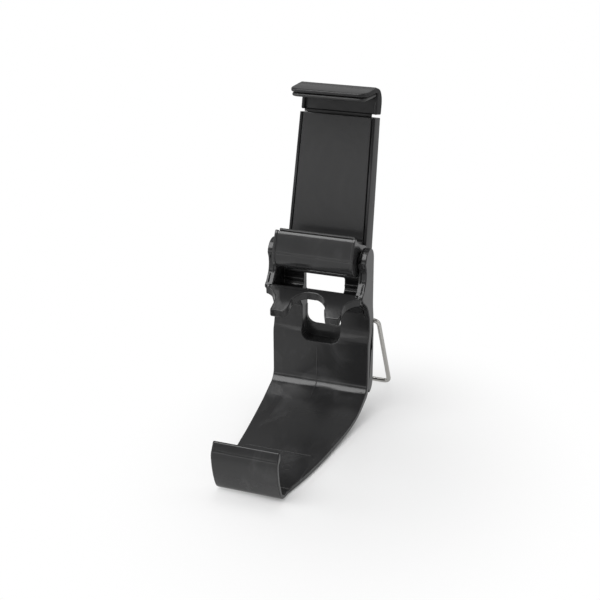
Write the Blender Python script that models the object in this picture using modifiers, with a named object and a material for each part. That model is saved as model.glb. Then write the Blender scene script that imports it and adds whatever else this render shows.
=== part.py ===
"""Phone holder for a game controller: a hooked bracket, a leaning spring clamp and a wire stand.

Units are metres, +X is the holder's right, +Y its back, +Z up. The bracket is laid out in its own
frame, with y = 0 on the front face of the upright and z = 0 on the table. The clamp is laid out
about its hinge, with y from its front to its back and z along the phone. The root empty then moves
everything so that the origin lies under the middle of the whole holder.
"""
import math

import bmesh
import bpy
from mathutils import Matrix, Vector

# Fits between pieces
GAP = 0.0003
RUNNING_FIT = 0.00006
SCREW_FIT = 0.0001

# Bracket: one moulding with hook, strap, upright, shelf and two ears
BRACKET_WIDTH = 0.0430
BRACKET_WALL = 0.0022
STRAP_REACH = 0.0850
STRAP_RISE = 0.0071
STRAP_SWEEP = 5.0
STRAP_SHOULDER = 0.0100
CREASE_RADIUS = 0.0033
HOOK_WIDTH = 0.0270
HOOK_HEIGHT = 0.0221
HOOK_FOOT = 0.0104
HOOK_WALL = 0.0017
BEAD_HEIGHT = 0.0036
BEAD_DEPTH = 0.0015
FLANGE_DEPTH = 0.0076
FLANGE_WALL = 0.0024
UPRIGHT_DIP = 0.0016
UPRIGHT_TOP_Z = 0.0455
CREST_FORWARD = 0.0082
CREST_RISE = 0.0108
SHELF_REACH = 0.0212
SHELF_THICKNESS = 0.0032
SHELF_SLOPE_DEG = 22.0
PRONG_INNER = 0.0093
PRONG_OUTER = 0.0144
CENTRE_NOTCH_RADIUS = 0.0078
CENTRE_NOTCH_APEX = 0.0013
SIDE_NOTCH_RADIUS = 0.0076
CRADLE_BACK = 0.0051
CRADLE_WALL = 0.0032
CRADLE_FLOOR_RISE = 0.0055
CRADLE_TOP_RISE = 0.0200
RATCHET_PITCH = 0.0036
RATCHET_HEIGHT = 0.0005
WINDOW_WIDTH = 0.0181
WINDOW_TOP_RISE = 0.0127
WINDOW_BOTTOM_RISE = 0.0042
PORT_WIDTH = 0.0170
PORT_HEIGHT = 0.0148
PORT_HEAD = 0.0015
PORT_ROOF_RISE = 0.0046
PORT_ROOF_DEG = 23.0
PORT_CORNER = 0.0040
PORT_COLLAR = 0.0018
PORT_PANEL_HEIGHT = 0.0054
PORT_PANEL_WALL = 0.0018
SLOT_DROP = 0.0170
SLOT_HEIGHT = 0.0029
SLOT_DEPTH = 0.0019

# Hinge of the clamp in the ears
HINGE_Y = 0.0003
HINGE_RISE = 0.0230
HINGE_LEAN_DEG = 13.75
EAR_RADIUS = 0.0057
EAR_WALL = 0.0034
TRUNNION_RADIUS = 0.0020
TRUNNION_DEPTH = 0.0022
WASHER_RADIUS = 0.0040
WASHER_THICKNESS = 0.0004

# Clamp body, jaws and slide
JAW_SIDE_GAP = 0.00075
JAW_REACH = 0.0110
JAW_DROP = 0.0061
LIP_HEIGHT = 0.0094
LEDGE_HEIGHT = 0.0054
LEDGE_RISE = 0.0016
JAW_SEAT_DEPTH = 0.0005
LOWER_JAW_WALL = 0.0018
CAP_WALL = 0.0014
PAD_THICKNESS = 0.0012
PLATE_FRONT = 0.00625
PLATE_WALL = 0.0020
PLATE_TOP = 0.0581
BODY_TAPER = 0.0021
BODY_TOP_BACK = 0.0142
BODY_BASE_BACK = 0.0162
COVER_WALL = 0.0012
COVER_BASE = 0.0009
UPPER_JAW_OVERHANG = 0.0001
UPPER_JAW_GAP = 0.0012
UPPER_JAW_TOP = 0.0700
UPPER_JAW_SLOPE_DEG = 11.3
UPPER_JAW_REACH = 0.0092
UPPER_JAW_WALL = 0.0024
UPPER_JAW_EDGE = 0.0015
UPPER_JAW_SIDE = 0.0013
UPPER_JAW_CORNER = 0.0038
UPPER_JAW_BEND = 0.0065
UPPER_PAD_THICKNESS = 0.0011
UPPER_PAD_LIP = 0.0004
UPPER_PAD_INSET = 0.0006
JAW_TRAVEL = 0.0250
TONGUE_THICKNESS = 0.0018
TONGUE_LEFT_GAP = 0.0004
TONGUE_RIGHT_GAP = 0.0021
TONGUE_BASE = 0.0170
TONGUE_OVERLAP = 0.0068

# Screws
SCREW_RADIUS = 0.0010
SCREW_HEAD_RADIUS = 0.0019
SCREW_HEAD_HEIGHT = 0.0011
SCREW_LENGTH = 0.0042
BOSS_RADIUS = 0.0022
BOSS_MARGIN = 0.0008
UPPER_SCREW_HEIGHT = 0.0500
LOWER_SCREW_HEIGHT = 0.0115

# Wire stand
WIRE_RADIUS = 0.00095
WIRE_BEND = 0.0024
STAND_HINGE_Y = 0.0097
STAND_HINGE_DROP = 0.0070
STAND_RUN = 0.0193
STAND_SIDE_GAP = 0.0003
LUG_WIDTH = 0.0038
LUG_RADIUS = 0.0026

# Resolution of round shapes
ROUND = 24
ARC = 6

# Worked out from the sizes above
HALF = BRACKET_WIDTH / 2
EAR_INNER = HALF - EAR_WALL
FLANGE_INNER = HALF - FLANGE_WALL
STRAP_RUN = STRAP_REACH - HOOK_FOOT
CREST_Z = UPRIGHT_TOP_Z + CREST_RISE
CRADLE_FLOOR_Z = UPRIGHT_TOP_Z + CRADLE_FLOOR_RISE
CRADLE_TOP_Z = UPRIGHT_TOP_Z + CRADLE_TOP_RISE
WINDOW_TOP_Z = UPRIGHT_TOP_Z + WINDOW_TOP_RISE
WINDOW_BOTTOM_Z = UPRIGHT_TOP_Z + WINDOW_BOTTOM_RISE
PORT_TOP_Z = UPRIGHT_TOP_Z - PORT_HEAD
PORT_BOTTOM_Z = PORT_TOP_Z - PORT_HEIGHT
SLOT_Z = UPRIGHT_TOP_Z - SLOT_DROP
HINGE_Z = UPRIGHT_TOP_Z + HINGE_RISE
STAND_HINGE_Z = UPRIGHT_TOP_Z - STAND_HINGE_DROP
LUG_X = FLANGE_INNER - LUG_WIDTH / 2 + 0.0004
STAND_BACK = STAND_HINGE_Y + STAND_RUN + WIRE_RADIUS
ORIGIN_SHIFT = (STRAP_REACH - STAND_BACK) / 2
LOWER_JAW_WIDTH = 2 * (EAR_INNER - JAW_SIDE_GAP)
BODY_BASE_WIDTH = LOWER_JAW_WIDTH
BODY_TOP_WIDTH = BODY_BASE_WIDTH - BODY_TAPER
UPPER_JAW_WIDTH = BODY_TOP_WIDTH + 2 * UPPER_JAW_OVERHANG
TONGUE_BACK = BODY_TOP_BACK - COVER_WALL - GAP
TONGUE_FRONT = TONGUE_BACK - TONGUE_THICKNESS
TONGUE_LEFT = TONGUE_LEFT_GAP + COVER_WALL - BODY_TOP_WIDTH / 2
TONGUE_RIGHT = BODY_TOP_WIDTH / 2 - COVER_WALL - TONGUE_RIGHT_GAP
STEM_BASE = PLATE_TOP + UPPER_JAW_GAP
SLOT_END = UPPER_SCREW_HEIGHT - JAW_TRAVEL - BOSS_RADIUS - GAP
UPPER_SCREW_X = BODY_TOP_WIDTH * 0.184
LOWER_SCREW_X = BODY_BASE_WIDTH / 2 - COVER_WALL - GAP - BOSS_RADIUS - BOSS_MARGIN
JAW_SCREWS = (-BODY_BASE_WIDTH * 0.288, BODY_BASE_WIDTH * 0.288)
STEM_SCREWS = (-UPPER_JAW_WIDTH * 0.2134, UPPER_JAW_WIDTH * 0.2134)


def start_scene():
    for old in list(bpy.data.objects):
        bpy.data.objects.remove(old)
    made = []
    for label in ("phone_gaming_holder", "cutters"):
        group = bpy.data.collections.new(label)
        bpy.context.scene.collection.children.link(group)
        made.append(group)
    return made


def material(label, colour, roughness, metallic=0.0):
    finish = bpy.data.materials.new(label)
    finish.use_nodes = True
    surface = finish.node_tree.nodes["Principled BSDF"]
    surface.inputs["Base Color"].default_value = (*colour, 1.0)
    surface.inputs["Roughness"].default_value = roughness
    surface.inputs["Metallic"].default_value = metallic
    return finish


def frame_empty(name, location, parent=None, lean=0.0):
    empty = bpy.data.objects.new(name, None)
    PARTS.objects.link(empty)
    empty.parent = parent
    empty.location = location
    empty.rotation_euler = (lean, 0.0, 0.0)
    return empty


def arc(centre, radius, start_deg, end_deg, steps=ARC):
    """Points of a circular arc in a plane, both ends included."""
    points = []
    for i in range(steps + 1):
        angle = math.radians(start_deg + (end_deg - start_deg) * i / steps)
        points.append((centre[0] + radius * math.cos(angle), centre[1] + radius * math.sin(angle)))
    return points


def smooth(points, steps=3):
    """A Catmull-Rom curve through the points of an open outline."""
    vectors = [Vector(p) for p in points]
    vectors = [2 * vectors[0] - vectors[1]] + vectors + [2 * vectors[-1] - vectors[-2]]
    curve = []
    for a, b, c, d in zip(vectors, vectors[1:], vectors[2:], vectors[3:]):
        for i in range(steps):
            t = i / steps
            point = 2 * b + (c - a) * t + (2 * a - 5 * b + 4 * c - d) * t ** 2
            point += (3 * b - a - 3 * c + d) * t ** 3
            curve.append(tuple(point / 2))
    return curve + [tuple(vectors[-2])]


def offset_right(points, distance):
    """The same open line, moved to the right of its direction."""
    vectors = [Vector(p) for p in points]
    runs = [(b - a).normalized() for a, b in zip(vectors, vectors[1:])]
    sides = [Vector((run.y, -run.x)) for run in runs]
    moved = []
    for here, before, after in zip(vectors, sides[:1] + sides, sides + sides[-1:]):
        mitre = (before + after).normalized()
        moved.append(tuple(here + mitre * distance / mitre.dot(before)))
    return moved


def rounded_box(x0, x1, y0, y1, radius, steps=ARC):
    """A rectangle with round corners, anticlockwise."""
    corners = []
    corners += arc((x1 - radius, y0 + radius), radius, -90, 0, steps)
    corners += arc((x1 - radius, y1 - radius), radius, 0, 90, steps)
    corners += arc((x0 + radius, y1 - radius), radius, 90, 180, steps)
    corners += arc((x0 + radius, y0 + radius), radius, 180, 270, steps)
    return corners


PLANES = {
    "YZ": Matrix(((0, 0, 1, 0), (1, 0, 0, 0), (0, 1, 0, 0), (0, 0, 0, 1))),
    "XZ": Matrix(((1, 0, 0, 0), (0, 0, -1, 0), (0, 1, 0, 0), (0, 0, 0, 1))),
    "XY": Matrix.Identity(4),
}


def mesh_of(curve_object):
    """The evaluated mesh of a curve, welded and closed, with the curve removed."""
    depsgraph = bpy.context.evaluated_depsgraph_get()
    mesh = bpy.data.meshes.new_from_object(curve_object.evaluated_get(depsgraph))
    work = bmesh.new()
    work.from_mesh(mesh)
    bmesh.ops.remove_doubles(work, verts=work.verts, dist=1e-7)
    bmesh.ops.recalc_face_normals(work, faces=work.faces)
    work.to_mesh(mesh)
    work.free()
    bpy.data.objects.remove(curve_object)
    return mesh


def node(name, mesh, group, parent, finish=None, smooth_deg=None):
    """An object of its own, with a material of its own made from a finish."""
    thing = bpy.data.objects.new(name, mesh)
    group.objects.link(thing)
    thing.parent = parent
    if finish:
        mesh.materials.clear()
        mesh.materials.append(material(name + "_" + finish[0], *finish[1:]))
    if smooth_deg:
        mesh.shade_smooth()
        mesh.set_sharp_from_angle(angle=math.radians(smooth_deg))
    if group is CUTTERS:
        thing.hide_render = True
        thing.display_type = "WIRE"
    return thing


def slab(name, outline, plane, low, high, group, parent, finish=None):
    """A flat outline, extruded from low to high across its plane."""
    curve = bpy.data.curves.new(name, "CURVE")
    curve.dimensions = "2D"
    curve.fill_mode = "BOTH"
    curve.extrude = (high - low) / 2
    line = curve.splines.new("POLY")
    line.points.add(len(outline) - 1)
    for point, (u, v) in zip(line.points, outline):
        point.co = (u, v, 0.0, 1.0)
    line.use_cyclic_u = True
    drawn = bpy.data.objects.new(name, curve)
    CUTTERS.objects.link(drawn)
    mesh = mesh_of(drawn)
    middle = (low + high) / 2
    shift = {"YZ": (middle, 0, 0), "XZ": (0, middle, 0), "XY": (0, 0, middle)}[plane]
    mesh.transform(Matrix.Translation(shift) @ PLANES[plane])
    return node(name, mesh, group, parent, finish, 30)


def tube(points, radius, sides_resolution=3):
    """The mesh of a wire along a line of points."""
    curve = bpy.data.curves.new("wire", "CURVE")
    curve.dimensions = "3D"
    curve.bevel_depth = radius
    curve.bevel_resolution = sides_resolution
    curve.use_fill_caps = True
    line = curve.splines.new("POLY")
    line.points.add(len(points) - 1)
    for point, place in zip(line.points, points):
        point.co = (*place, 1.0)
    drawn = bpy.data.objects.new("wire", curve)
    CUTTERS.objects.link(drawn)
    return mesh_of(drawn)


def cylinder(name, radius, low, high, axis, centre, group, parent, finish=None):
    """A round bar from low to high along one axis, centred on the other two."""
    mesh = bpy.data.meshes.new(name)
    work = bmesh.new()
    bmesh.ops.create_cone(work, cap_ends=True, segments=ROUND, radius1=radius, radius2=radius,
                          depth=high - low)
    work.to_mesh(mesh)
    work.free()
    middle = (low + high) / 2
    if axis == "X":
        place = Matrix.Translation((middle, centre[0], centre[1])) @ Matrix.Rotation(math.pi / 2, 4, "Y")
    elif axis == "Y":
        place = Matrix.Translation((centre[0], middle, centre[1])) @ Matrix.Rotation(math.pi / 2, 4, "X")
    else:
        place = Matrix.Translation((centre[0], centre[1], middle))
    mesh.transform(place)
    return node(name, mesh, group, parent, finish, 30)


def boolean(target, other, operation):
    step = target.modifiers.new(operation.lower() + " " + other.name, "BOOLEAN")
    step.operation = operation
    step.object = other
    step.solver = "EXACT"


def join(target, pieces):
    for piece in pieces:
        boolean(target, piece, "UNION")


def cut(target, cutters):
    for cutter in cutters:
        boolean(target, cutter, "DIFFERENCE")


def trim(target, outline):
    boolean(target, outline, "INTERSECT")


def bevel(target, width, segments=2, angle_deg=40):
    edge = target.modifiers.new("edges", "BEVEL")
    edge.width = width
    edge.segments = segments
    edge.limit_method = "ANGLE"
    edge.angle_limit = math.radians(angle_deg)
    edge.use_clamp_overlap = True


def strap_top(y):
    """Height of the strap's upper face, which sweeps up into the crease."""
    share = max(1 + y / STRAP_RUN, 0.0)
    return BRACKET_WALL + STRAP_RISE * share ** STRAP_SWEEP


def upright_front(z):
    """The upright's front face steps back gently under the shelf, in a soft S."""
    low = UPRIGHT_TOP_Z - 0.0145
    high = UPRIGHT_TOP_Z - 0.0085
    share = min(max((z - low) / (high - low), 0.0), 1.0)
    return UPRIGHT_DIP * (3 * share ** 2 - 2 * share ** 3)


def hook_front():
    """Outer face of the hook, from its lip down round the toe to the strap's underside."""
    shares = [(0.245, 1.0), (0.115, 0.895), (0.04, 0.835), (0.0, 0.724), (0.087, 0.452), (0.23, 0.235),
              (0.365, 0.104), (0.54, 0.030), (0.76, 0.004), (1.0, 0.0)]
    line = smooth([(HOOK_FOOT * u - STRAP_REACH, HOOK_HEIGHT * v) for u, v in shares])
    return [(max(y, -STRAP_REACH), max(z, 0.0)) for y, z in line]


def hook_back(front):
    """Inner face of the hook, with a square bead along the lip, down to the strap."""
    wall = offset_right(front, -HOOK_WALL)
    under = HOOK_HEIGHT - BEAD_HEIGHT
    back = front[0][0] + BEAD_DEPTH - 0.0005
    bead = [(back - 0.0006, HOOK_HEIGHT), (back, HOOK_HEIGHT - 0.0006), (back, under + 0.0005),
            (back - 0.0004, under)]
    return bead + [point for point in wall if point[1] < under - 0.0007]


def ribbon_outline():
    """Side outline of hook, strap and upright as one bent ribbon."""
    last = -CREASE_RADIUS * 1.6
    line = []
    for i in range(17):
        y = (last + STRAP_RUN * 0.93) * i / 16 - STRAP_RUN * 0.93
        line.append((y, strap_top(y)))
    crease_z = strap_top(-CREASE_RADIUS)
    line += arc((-CREASE_RADIUS, crease_z + CREASE_RADIUS), CREASE_RADIUS, -62, 0, 5)
    low = crease_z + 2 * CREASE_RADIUS
    for i in range(15):
        z = low + (UPRIGHT_TOP_Z - low) * i / 14
        line.append((upright_front(z), z))
    front = hook_front()
    inner = hook_back(front) + line
    outer = front + offset_right(line, BRACKET_WALL)
    return inner + list(reversed(outer))


def ribbon_width():
    """Plan of the hook, the tapering strap and the upright."""
    hook = HOOK_WIDTH / 2
    growth = HALF - hook
    ahead = -STRAP_REACH - 0.01
    behind = FLANGE_DEPTH + 0.01
    run = STRAP_RUN - STRAP_SHOULDER
    taper = [(0.0, 0.02), (0.10, 0.19), (0.22, 0.37), (0.40, 0.575), (0.58, 0.725), (0.76, 0.875),
             (0.90, 0.965), (1.0, 1.0)]
    right = [(hook, ahead), (hook, -STRAP_RUN - 0.003)]
    right += smooth([(hook + growth * v, -STRAP_RUN + run * u) for u, v in taper])
    right.append((HALF, behind))
    return right + [(-x, y) for x, y in reversed(right)]


def ear_outline():
    """Side plate: a flange up the upright, then the wavy ear round the hinge and its knob."""
    inside = BRACKET_WALL / 2
    foot = strap_top(-CREASE_RADIUS) + 0.0012
    front = [(inside, foot + 0.002), (inside, UPRIGHT_TOP_Z - 0.0150),
             (UPRIGHT_DIP + 0.0006, UPRIGHT_TOP_Z - 0.0045), (-0.0004, UPRIGHT_TOP_Z + 0.0012),
             (-0.0022, UPRIGHT_TOP_Z + 0.0038), (-0.0045, CREST_Z - 0.0050),
             (-0.0072, CREST_Z - 0.0031)]
    knob_y = -CREST_FORWARD - 0.0003
    knob = arc((knob_y + 0.0008, CREST_Z - 0.0006), 0.0013, 250, 130, 5)
    wave = smooth([(knob_y + 0.0012, CREST_Z + 0.0011), (-0.0062, CREST_Z + 0.0026),
                   (-0.0047, CREST_Z + 0.0048), (-0.0041, CREST_Z + 0.0076),
                   (-0.0043, CREST_Z + 0.0103)])
    dome = arc((HINGE_Y, HINGE_Z), EAR_RADIUS, 172, 5, 12)
    back = [(HINGE_Y + EAR_RADIUS, HINGE_Z - 0.002), (HINGE_Y + EAR_RADIUS, UPRIGHT_TOP_Z + 0.004)]
    back += smooth([(HINGE_Y + EAR_RADIUS + 0.0002, UPRIGHT_TOP_Z + 0.001),
                    (FLANGE_DEPTH - 0.0005, UPRIGHT_TOP_Z - 0.004),
                    (FLANGE_DEPTH, UPRIGHT_TOP_Z - 0.009)])
    corner = 0.0045
    heel_z = foot - BRACKET_WALL + 0.0004
    back += arc((FLANGE_DEPTH - corner, heel_z + corner), corner, 0, -90, 5)
    return front + knob + wave + dome + back


def cradle_outline():
    """Trough behind the shelf: crest, round floor and toothed back wall."""
    crest_y = -CREST_FORWARD
    floor = smooth([(crest_y + 0.0006, CREST_Z - 0.0001), (crest_y + 0.0032, CREST_Z - 0.0031),
                    (-0.0012, CRADLE_FLOOR_Z + 0.0002), (CRADLE_BACK - 0.0029, CRADLE_FLOOR_Z),
                    (CRADLE_BACK - 0.0007, CRADLE_FLOOR_Z + 0.0014)])
    line = floor + [(CRADLE_BACK, CRADLE_FLOOR_Z + 0.0028)]
    teeth = int((CRADLE_TOP_Z - CRADLE_FLOOR_Z - 0.0035) / RATCHET_PITCH)
    for i in range(teeth):
        z = WINDOW_TOP_Z - RATCHET_PITCH + i * RATCHET_PITCH
        line += [(CRADLE_BACK, z - RATCHET_HEIGHT), (CRADLE_BACK - RATCHET_HEIGHT, z),
                 (CRADLE_BACK, z + RATCHET_HEIGHT)]
    back = CRADLE_BACK + CRADLE_WALL
    line += [(CRADLE_BACK, CRADLE_TOP_Z - 0.0006), (CRADLE_BACK + 0.0006, CRADLE_TOP_Z),
             (back - 0.0008, CRADLE_TOP_Z), (back, CRADLE_TOP_Z - 0.0008),
             (back, UPRIGHT_TOP_Z + 0.0024), (back - 0.0012, UPRIGHT_TOP_Z + 0.0010)]
    line += [(BRACKET_WALL + UPRIGHT_DIP - 0.0006, UPRIGHT_TOP_Z - 0.0014),
             (UPRIGHT_DIP + 0.0008, UPRIGHT_TOP_Z - 0.0022)]
    line += smooth([(0.0002, UPRIGHT_TOP_Z + 0.0006), (-0.0022, UPRIGHT_TOP_Z + 0.0036),
                    (-0.0048, CREST_Z - 0.0054), (crest_y, CREST_Z - 0.0038)])
    nose = crest_y - CENTRE_NOTCH_APEX + 0.0001
    line += [(nose, CREST_Z - SHELF_THICKNESS - 0.0003), (nose, CREST_Z - 0.0013)]
    return line


def shelf_outline():
    """Plan of the shelf: two prongs between a round centre notch and two round side notches."""
    tip = CREST_FORWARD - SHELF_REACH
    corner = 0.0007
    side_y = -SIDE_NOTCH_RADIUS - CENTRE_NOTCH_APEX
    side_x = PRONG_OUTER - 0.0001 + SIDE_NOTCH_RADIUS
    right = arc((0.0, -CENTRE_NOTCH_RADIUS - CENTRE_NOTCH_APEX), CENTRE_NOTCH_RADIUS, 78, 0, 10)
    right += arc((PRONG_INNER + corner, tip + corner), corner, 200, 270, 3)
    right += arc((PRONG_OUTER - corner, tip + corner), corner, 270, 360, 3)
    right += arc((side_x, side_y), SIDE_NOTCH_RADIUS, 180, 100, 9)
    right += [(HALF - 0.0008, 0.0003)]
    left = [(-x, y) for x, y in reversed(right)]
    return left + [(0.0, -CENTRE_NOTCH_APEX)] + right


def port_outline(grow, bottom, top, corner):
    """Tall opening with round lower corners and a flat top."""
    half = PORT_WIDTH / 2 + grow
    line = arc((-half + corner, bottom + corner), corner, 180, 270)
    line += arc((half - corner, bottom + corner), corner, 270, 360)
    return line + [(half, top), (-half, top)]


def make_bracket(parent):
    bracket = slab("controller_bracket", ribbon_outline(), "YZ", -HALF - 0.001, HALF + 0.001, PARTS,
                   parent, BLACK_PLASTIC)
    trim(bracket, slab("ribbon_plan", ribbon_width(), "XY", -0.01, CRADLE_TOP_Z, CUTTERS, parent))
    ears = []
    for side in (-1, 1):
        low, high = sorted((side * FLANGE_INNER, side * HALF))
        ears.append(slab("side_plate", ear_outline(), "YZ", low, high, CUTTERS, parent))
    join(bracket, ears)
    reach = HALF - EAR_WALL / 2
    join(bracket, [slab("cradle", cradle_outline(), "YZ", -reach, reach, CUTTERS, parent)])
    for side in (-1, 1):
        cheek = [p for p in ear_outline() if p[1] > UPRIGHT_TOP_Z + 0.002]
        low, high = sorted((side * EAR_INNER, side * (FLANGE_INNER + 0.0012)))
        join(bracket, [slab("ear_cheek", inset(cheek, 0.0002), "YZ", low, high, CUTTERS, parent)])
    shelf = slab("shelf", shelf_outline(), "XY", -SHELF_THICKNESS, 0.0, CUTTERS, parent)
    slope = Matrix.Identity(4)
    slope[2][1] = math.tan(math.radians(SHELF_SLOPE_DEG))
    shelf.data.transform(Matrix.Translation((0, -CREST_FORWARD, CREST_Z)) @ slope)
    collar_back = CRADLE_BACK + CRADLE_WALL
    collar = slab("port_collar",
                  port_outline(PORT_COLLAR, PORT_BOTTOM_Z - PORT_COLLAR, UPRIGHT_TOP_Z + 0.003,
                               PORT_CORNER + PORT_COLLAR),
                  "XZ", BRACKET_WALL / 2 + UPRIGHT_DIP / 2, collar_back - 0.0004, CUTTERS, parent)
    join(bracket, [shelf, collar] + [make_lug(side, parent) for side in (-1, 1)])
    cut(bracket, bracket_openings(collar_back, parent))
    return bracket


def inset(outline, distance):
    """A closed outline shrunk a little towards its middle."""
    middle = sum((Vector(p) for p in outline), Vector((0.0, 0.0))) / len(outline)
    shrunk = []
    for point in outline:
        away = Vector(point) - middle
        shrunk.append(tuple(middle + away * (1 - distance / away.length)))
    return shrunk


def make_lug(side, parent):
    """Lug behind the flange that carries one bent end of the wire stand."""
    centre = (STAND_HINGE_Y, STAND_HINGE_Z)
    outline = arc(centre, LUG_RADIUS, -90, 90, 10)
    outline += [(BRACKET_WALL / 2 + UPRIGHT_DIP, STAND_HINGE_Z + LUG_RADIUS + 0.0012),
                (BRACKET_WALL / 2 + UPRIGHT_DIP, STAND_HINGE_Z - LUG_RADIUS - 0.0012)]
    low, high = sorted((side * (LUG_X - LUG_WIDTH / 2), side * (LUG_X + LUG_WIDTH / 2)))
    return slab("stand_lug", outline, "YZ", low, high, CUTTERS, parent)


def bracket_openings(collar_back, parent):
    """Cutters for the window, the port, the hinge sockets, the wire holes and the side slots."""
    window = slab("window",
                  rounded_box(-WINDOW_WIDTH / 2, WINDOW_WIDTH / 2, WINDOW_BOTTOM_Z, WINDOW_TOP_Z, 0.0005, 2),
                  "XZ", CRADLE_BACK / 2, collar_back + 0.002, CUTTERS, parent)
    front = slab("port_front", port_outline(0.0, PORT_BOTTOM_Z, PORT_TOP_Z, PORT_CORNER), "XZ",
                 -0.004, collar_back - 0.0004 - PORT_PANEL_WALL, CUTTERS, parent)
    panel_top = PORT_BOTTOM_Z + PORT_PANEL_HEIGHT
    rear = slab("port_rear", port_outline(-0.0002, panel_top, PORT_TOP_Z - 0.0002, PORT_CORNER),
                "XZ", 0.001, collar_back + 0.002, CUTTERS, parent)
    fall = math.tan(math.radians(PORT_ROOF_DEG))
    ahead = -0.004
    behind = collar_back + 0.001
    roof_z = PORT_TOP_Z + PORT_ROOF_RISE
    roof = slab("port_roof", [(ahead, PORT_TOP_Z - 0.001), (behind, PORT_TOP_Z - 0.001),
                              (behind, roof_z - fall * behind), (ahead, roof_z - fall * ahead)],
                "YZ", -PORT_WIDTH / 2, PORT_WIDTH / 2, CUTTERS, parent)
    tools = [window, front, rear, roof]
    for side in (-1, 1):
        low, high = sorted((side * (EAR_INNER - 0.001), side * (EAR_INNER + TRUNNION_DEPTH + GAP)))
        tools.append(cylinder("hinge_socket", TRUNNION_RADIUS + RUNNING_FIT, low, high, "X",
                              (HINGE_Y, HINGE_Z), CUTTERS, parent))
        low, high = sorted((side * (LUG_X - LUG_WIDTH), side * (LUG_X + LUG_WIDTH)))
        tools.append(cylinder("wire_hole", WIRE_RADIUS + RUNNING_FIT, low, high, "X",
                              (STAND_HINGE_Y, STAND_HINGE_Z), CUTTERS, parent))
        low, high = sorted((side * (FLANGE_INNER - 0.001), side * (HALF + 0.001)))
        middle = FLANGE_DEPTH - 0.0032
        slot = rounded_box(middle - SLOT_DEPTH / 2, middle + SLOT_DEPTH / 2,
                           SLOT_Z - SLOT_HEIGHT / 2, SLOT_Z + SLOT_HEIGHT / 2, 0.0003, 2)
        tools.append(slab("side_slot", slot, "YZ", low, high, CUTTERS, parent))
    return tools


def rounded_path(corners, radius, steps=5):
    """A line of points with its inner corners turned into arcs."""
    path = [Vector(corners[0])]
    for before, here, after in zip(corners, corners[1:], corners[2:]):
        here = Vector(here)
        arrive = (here - Vector(before)).normalized()
        leave = (Vector(after) - here).normalized()
        half = arrive.angle(leave) / 2
        back = radius * math.tan(half)
        inward = (leave - arrive).normalized()
        centre = here + inward * radius / math.cos(half)
        start = here - arrive * back - centre
        axis = start.cross(here + leave * back - centre).normalized()
        for i in range(steps + 1):
            path.append(centre + Matrix.Rotation(2 * half * i / steps, 3, axis) @ start)
    return path + [Vector(corners[-1])]


def make_stand(parent):
    """One bent steel wire, hinged in the lugs, with its bar on the table."""
    leg_x = HALF + STAND_SIDE_GAP + WIRE_RADIUS
    end_x = LUG_X - LUG_WIDTH / 2 + GAP
    foot = (STAND_RUN, WIRE_RADIUS - STAND_HINGE_Z)
    corners = [(-end_x, 0, 0), (-leg_x, 0, 0), (-leg_x, *foot), (leg_x, *foot), (leg_x, 0, 0),
               (end_x, 0, 0)]
    wire = tube(rounded_path(corners, WIRE_BEND), WIRE_RADIUS)
    return node("wire_stand", wire, PARTS, parent, STEEL, 50)


def jaw_outline():
    """Section of the lower jaw: lip, ledge, hinge barrel and round front."""
    reach = JAW_REACH
    drop = JAW_DROP
    lip = [(-0.764 * reach, LIP_HEIGHT), (-0.836 * reach, LIP_HEIGHT * 1.01),
           (-0.873 * reach, LIP_HEIGHT * 0.936)]
    front = smooth([(-0.891 * reach, LIP_HEIGHT * 0.745), (-0.936 * reach, LIP_HEIGHT * 0.447),
                    (-reach, LIP_HEIGHT * 0.043)])
    under = smooth([(-0.927 * reach, -0.426 * drop), (-0.745 * reach, -0.803 * drop),
                    (-0.482 * reach, -drop), (-0.164 * reach, -0.902 * drop),
                    (0.127 * reach, -0.656 * drop), (0.327 * reach, -0.262 * drop)])
    seat = PLATE_FRONT + JAW_SEAT_DEPTH - GAP
    base = COVER_BASE + GAP
    return lip + front + under + [(0.4 * reach, base), (seat, base)] + list(ledge_line(seat))


def ledge_line(seat):
    """Where the lower pad lies: the ledge from its seat, then up the inside of the lip."""
    return [(seat, LEDGE_HEIGHT), (-0.309 * JAW_REACH, LEDGE_HEIGHT + LEDGE_RISE),
            (-0.655 * JAW_REACH, LIP_HEIGHT * 0.872)]


def jaw_hollow():
    """Section of the core inside the lower jaw, open at both ends."""
    reach = JAW_REACH
    drop = JAW_DROP
    roof = LEDGE_HEIGHT - LOWER_JAW_WALL
    return [(-0.764 * reach, roof + LEDGE_RISE), (-0.836 * reach, LIP_HEIGHT * 0.043),
            (-0.691 * reach, -0.459 * drop), (-0.455 * reach, -0.689 * drop),
            (-0.164 * reach, -0.607 * drop), (0.055 * reach, -0.41 * drop),
            (0.155 * reach, LIP_HEIGHT * 0.043), (0.155 * reach, roof + LEDGE_RISE * 0.44),
            (-0.309 * reach, roof + LEDGE_RISE * 0.88)]


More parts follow.
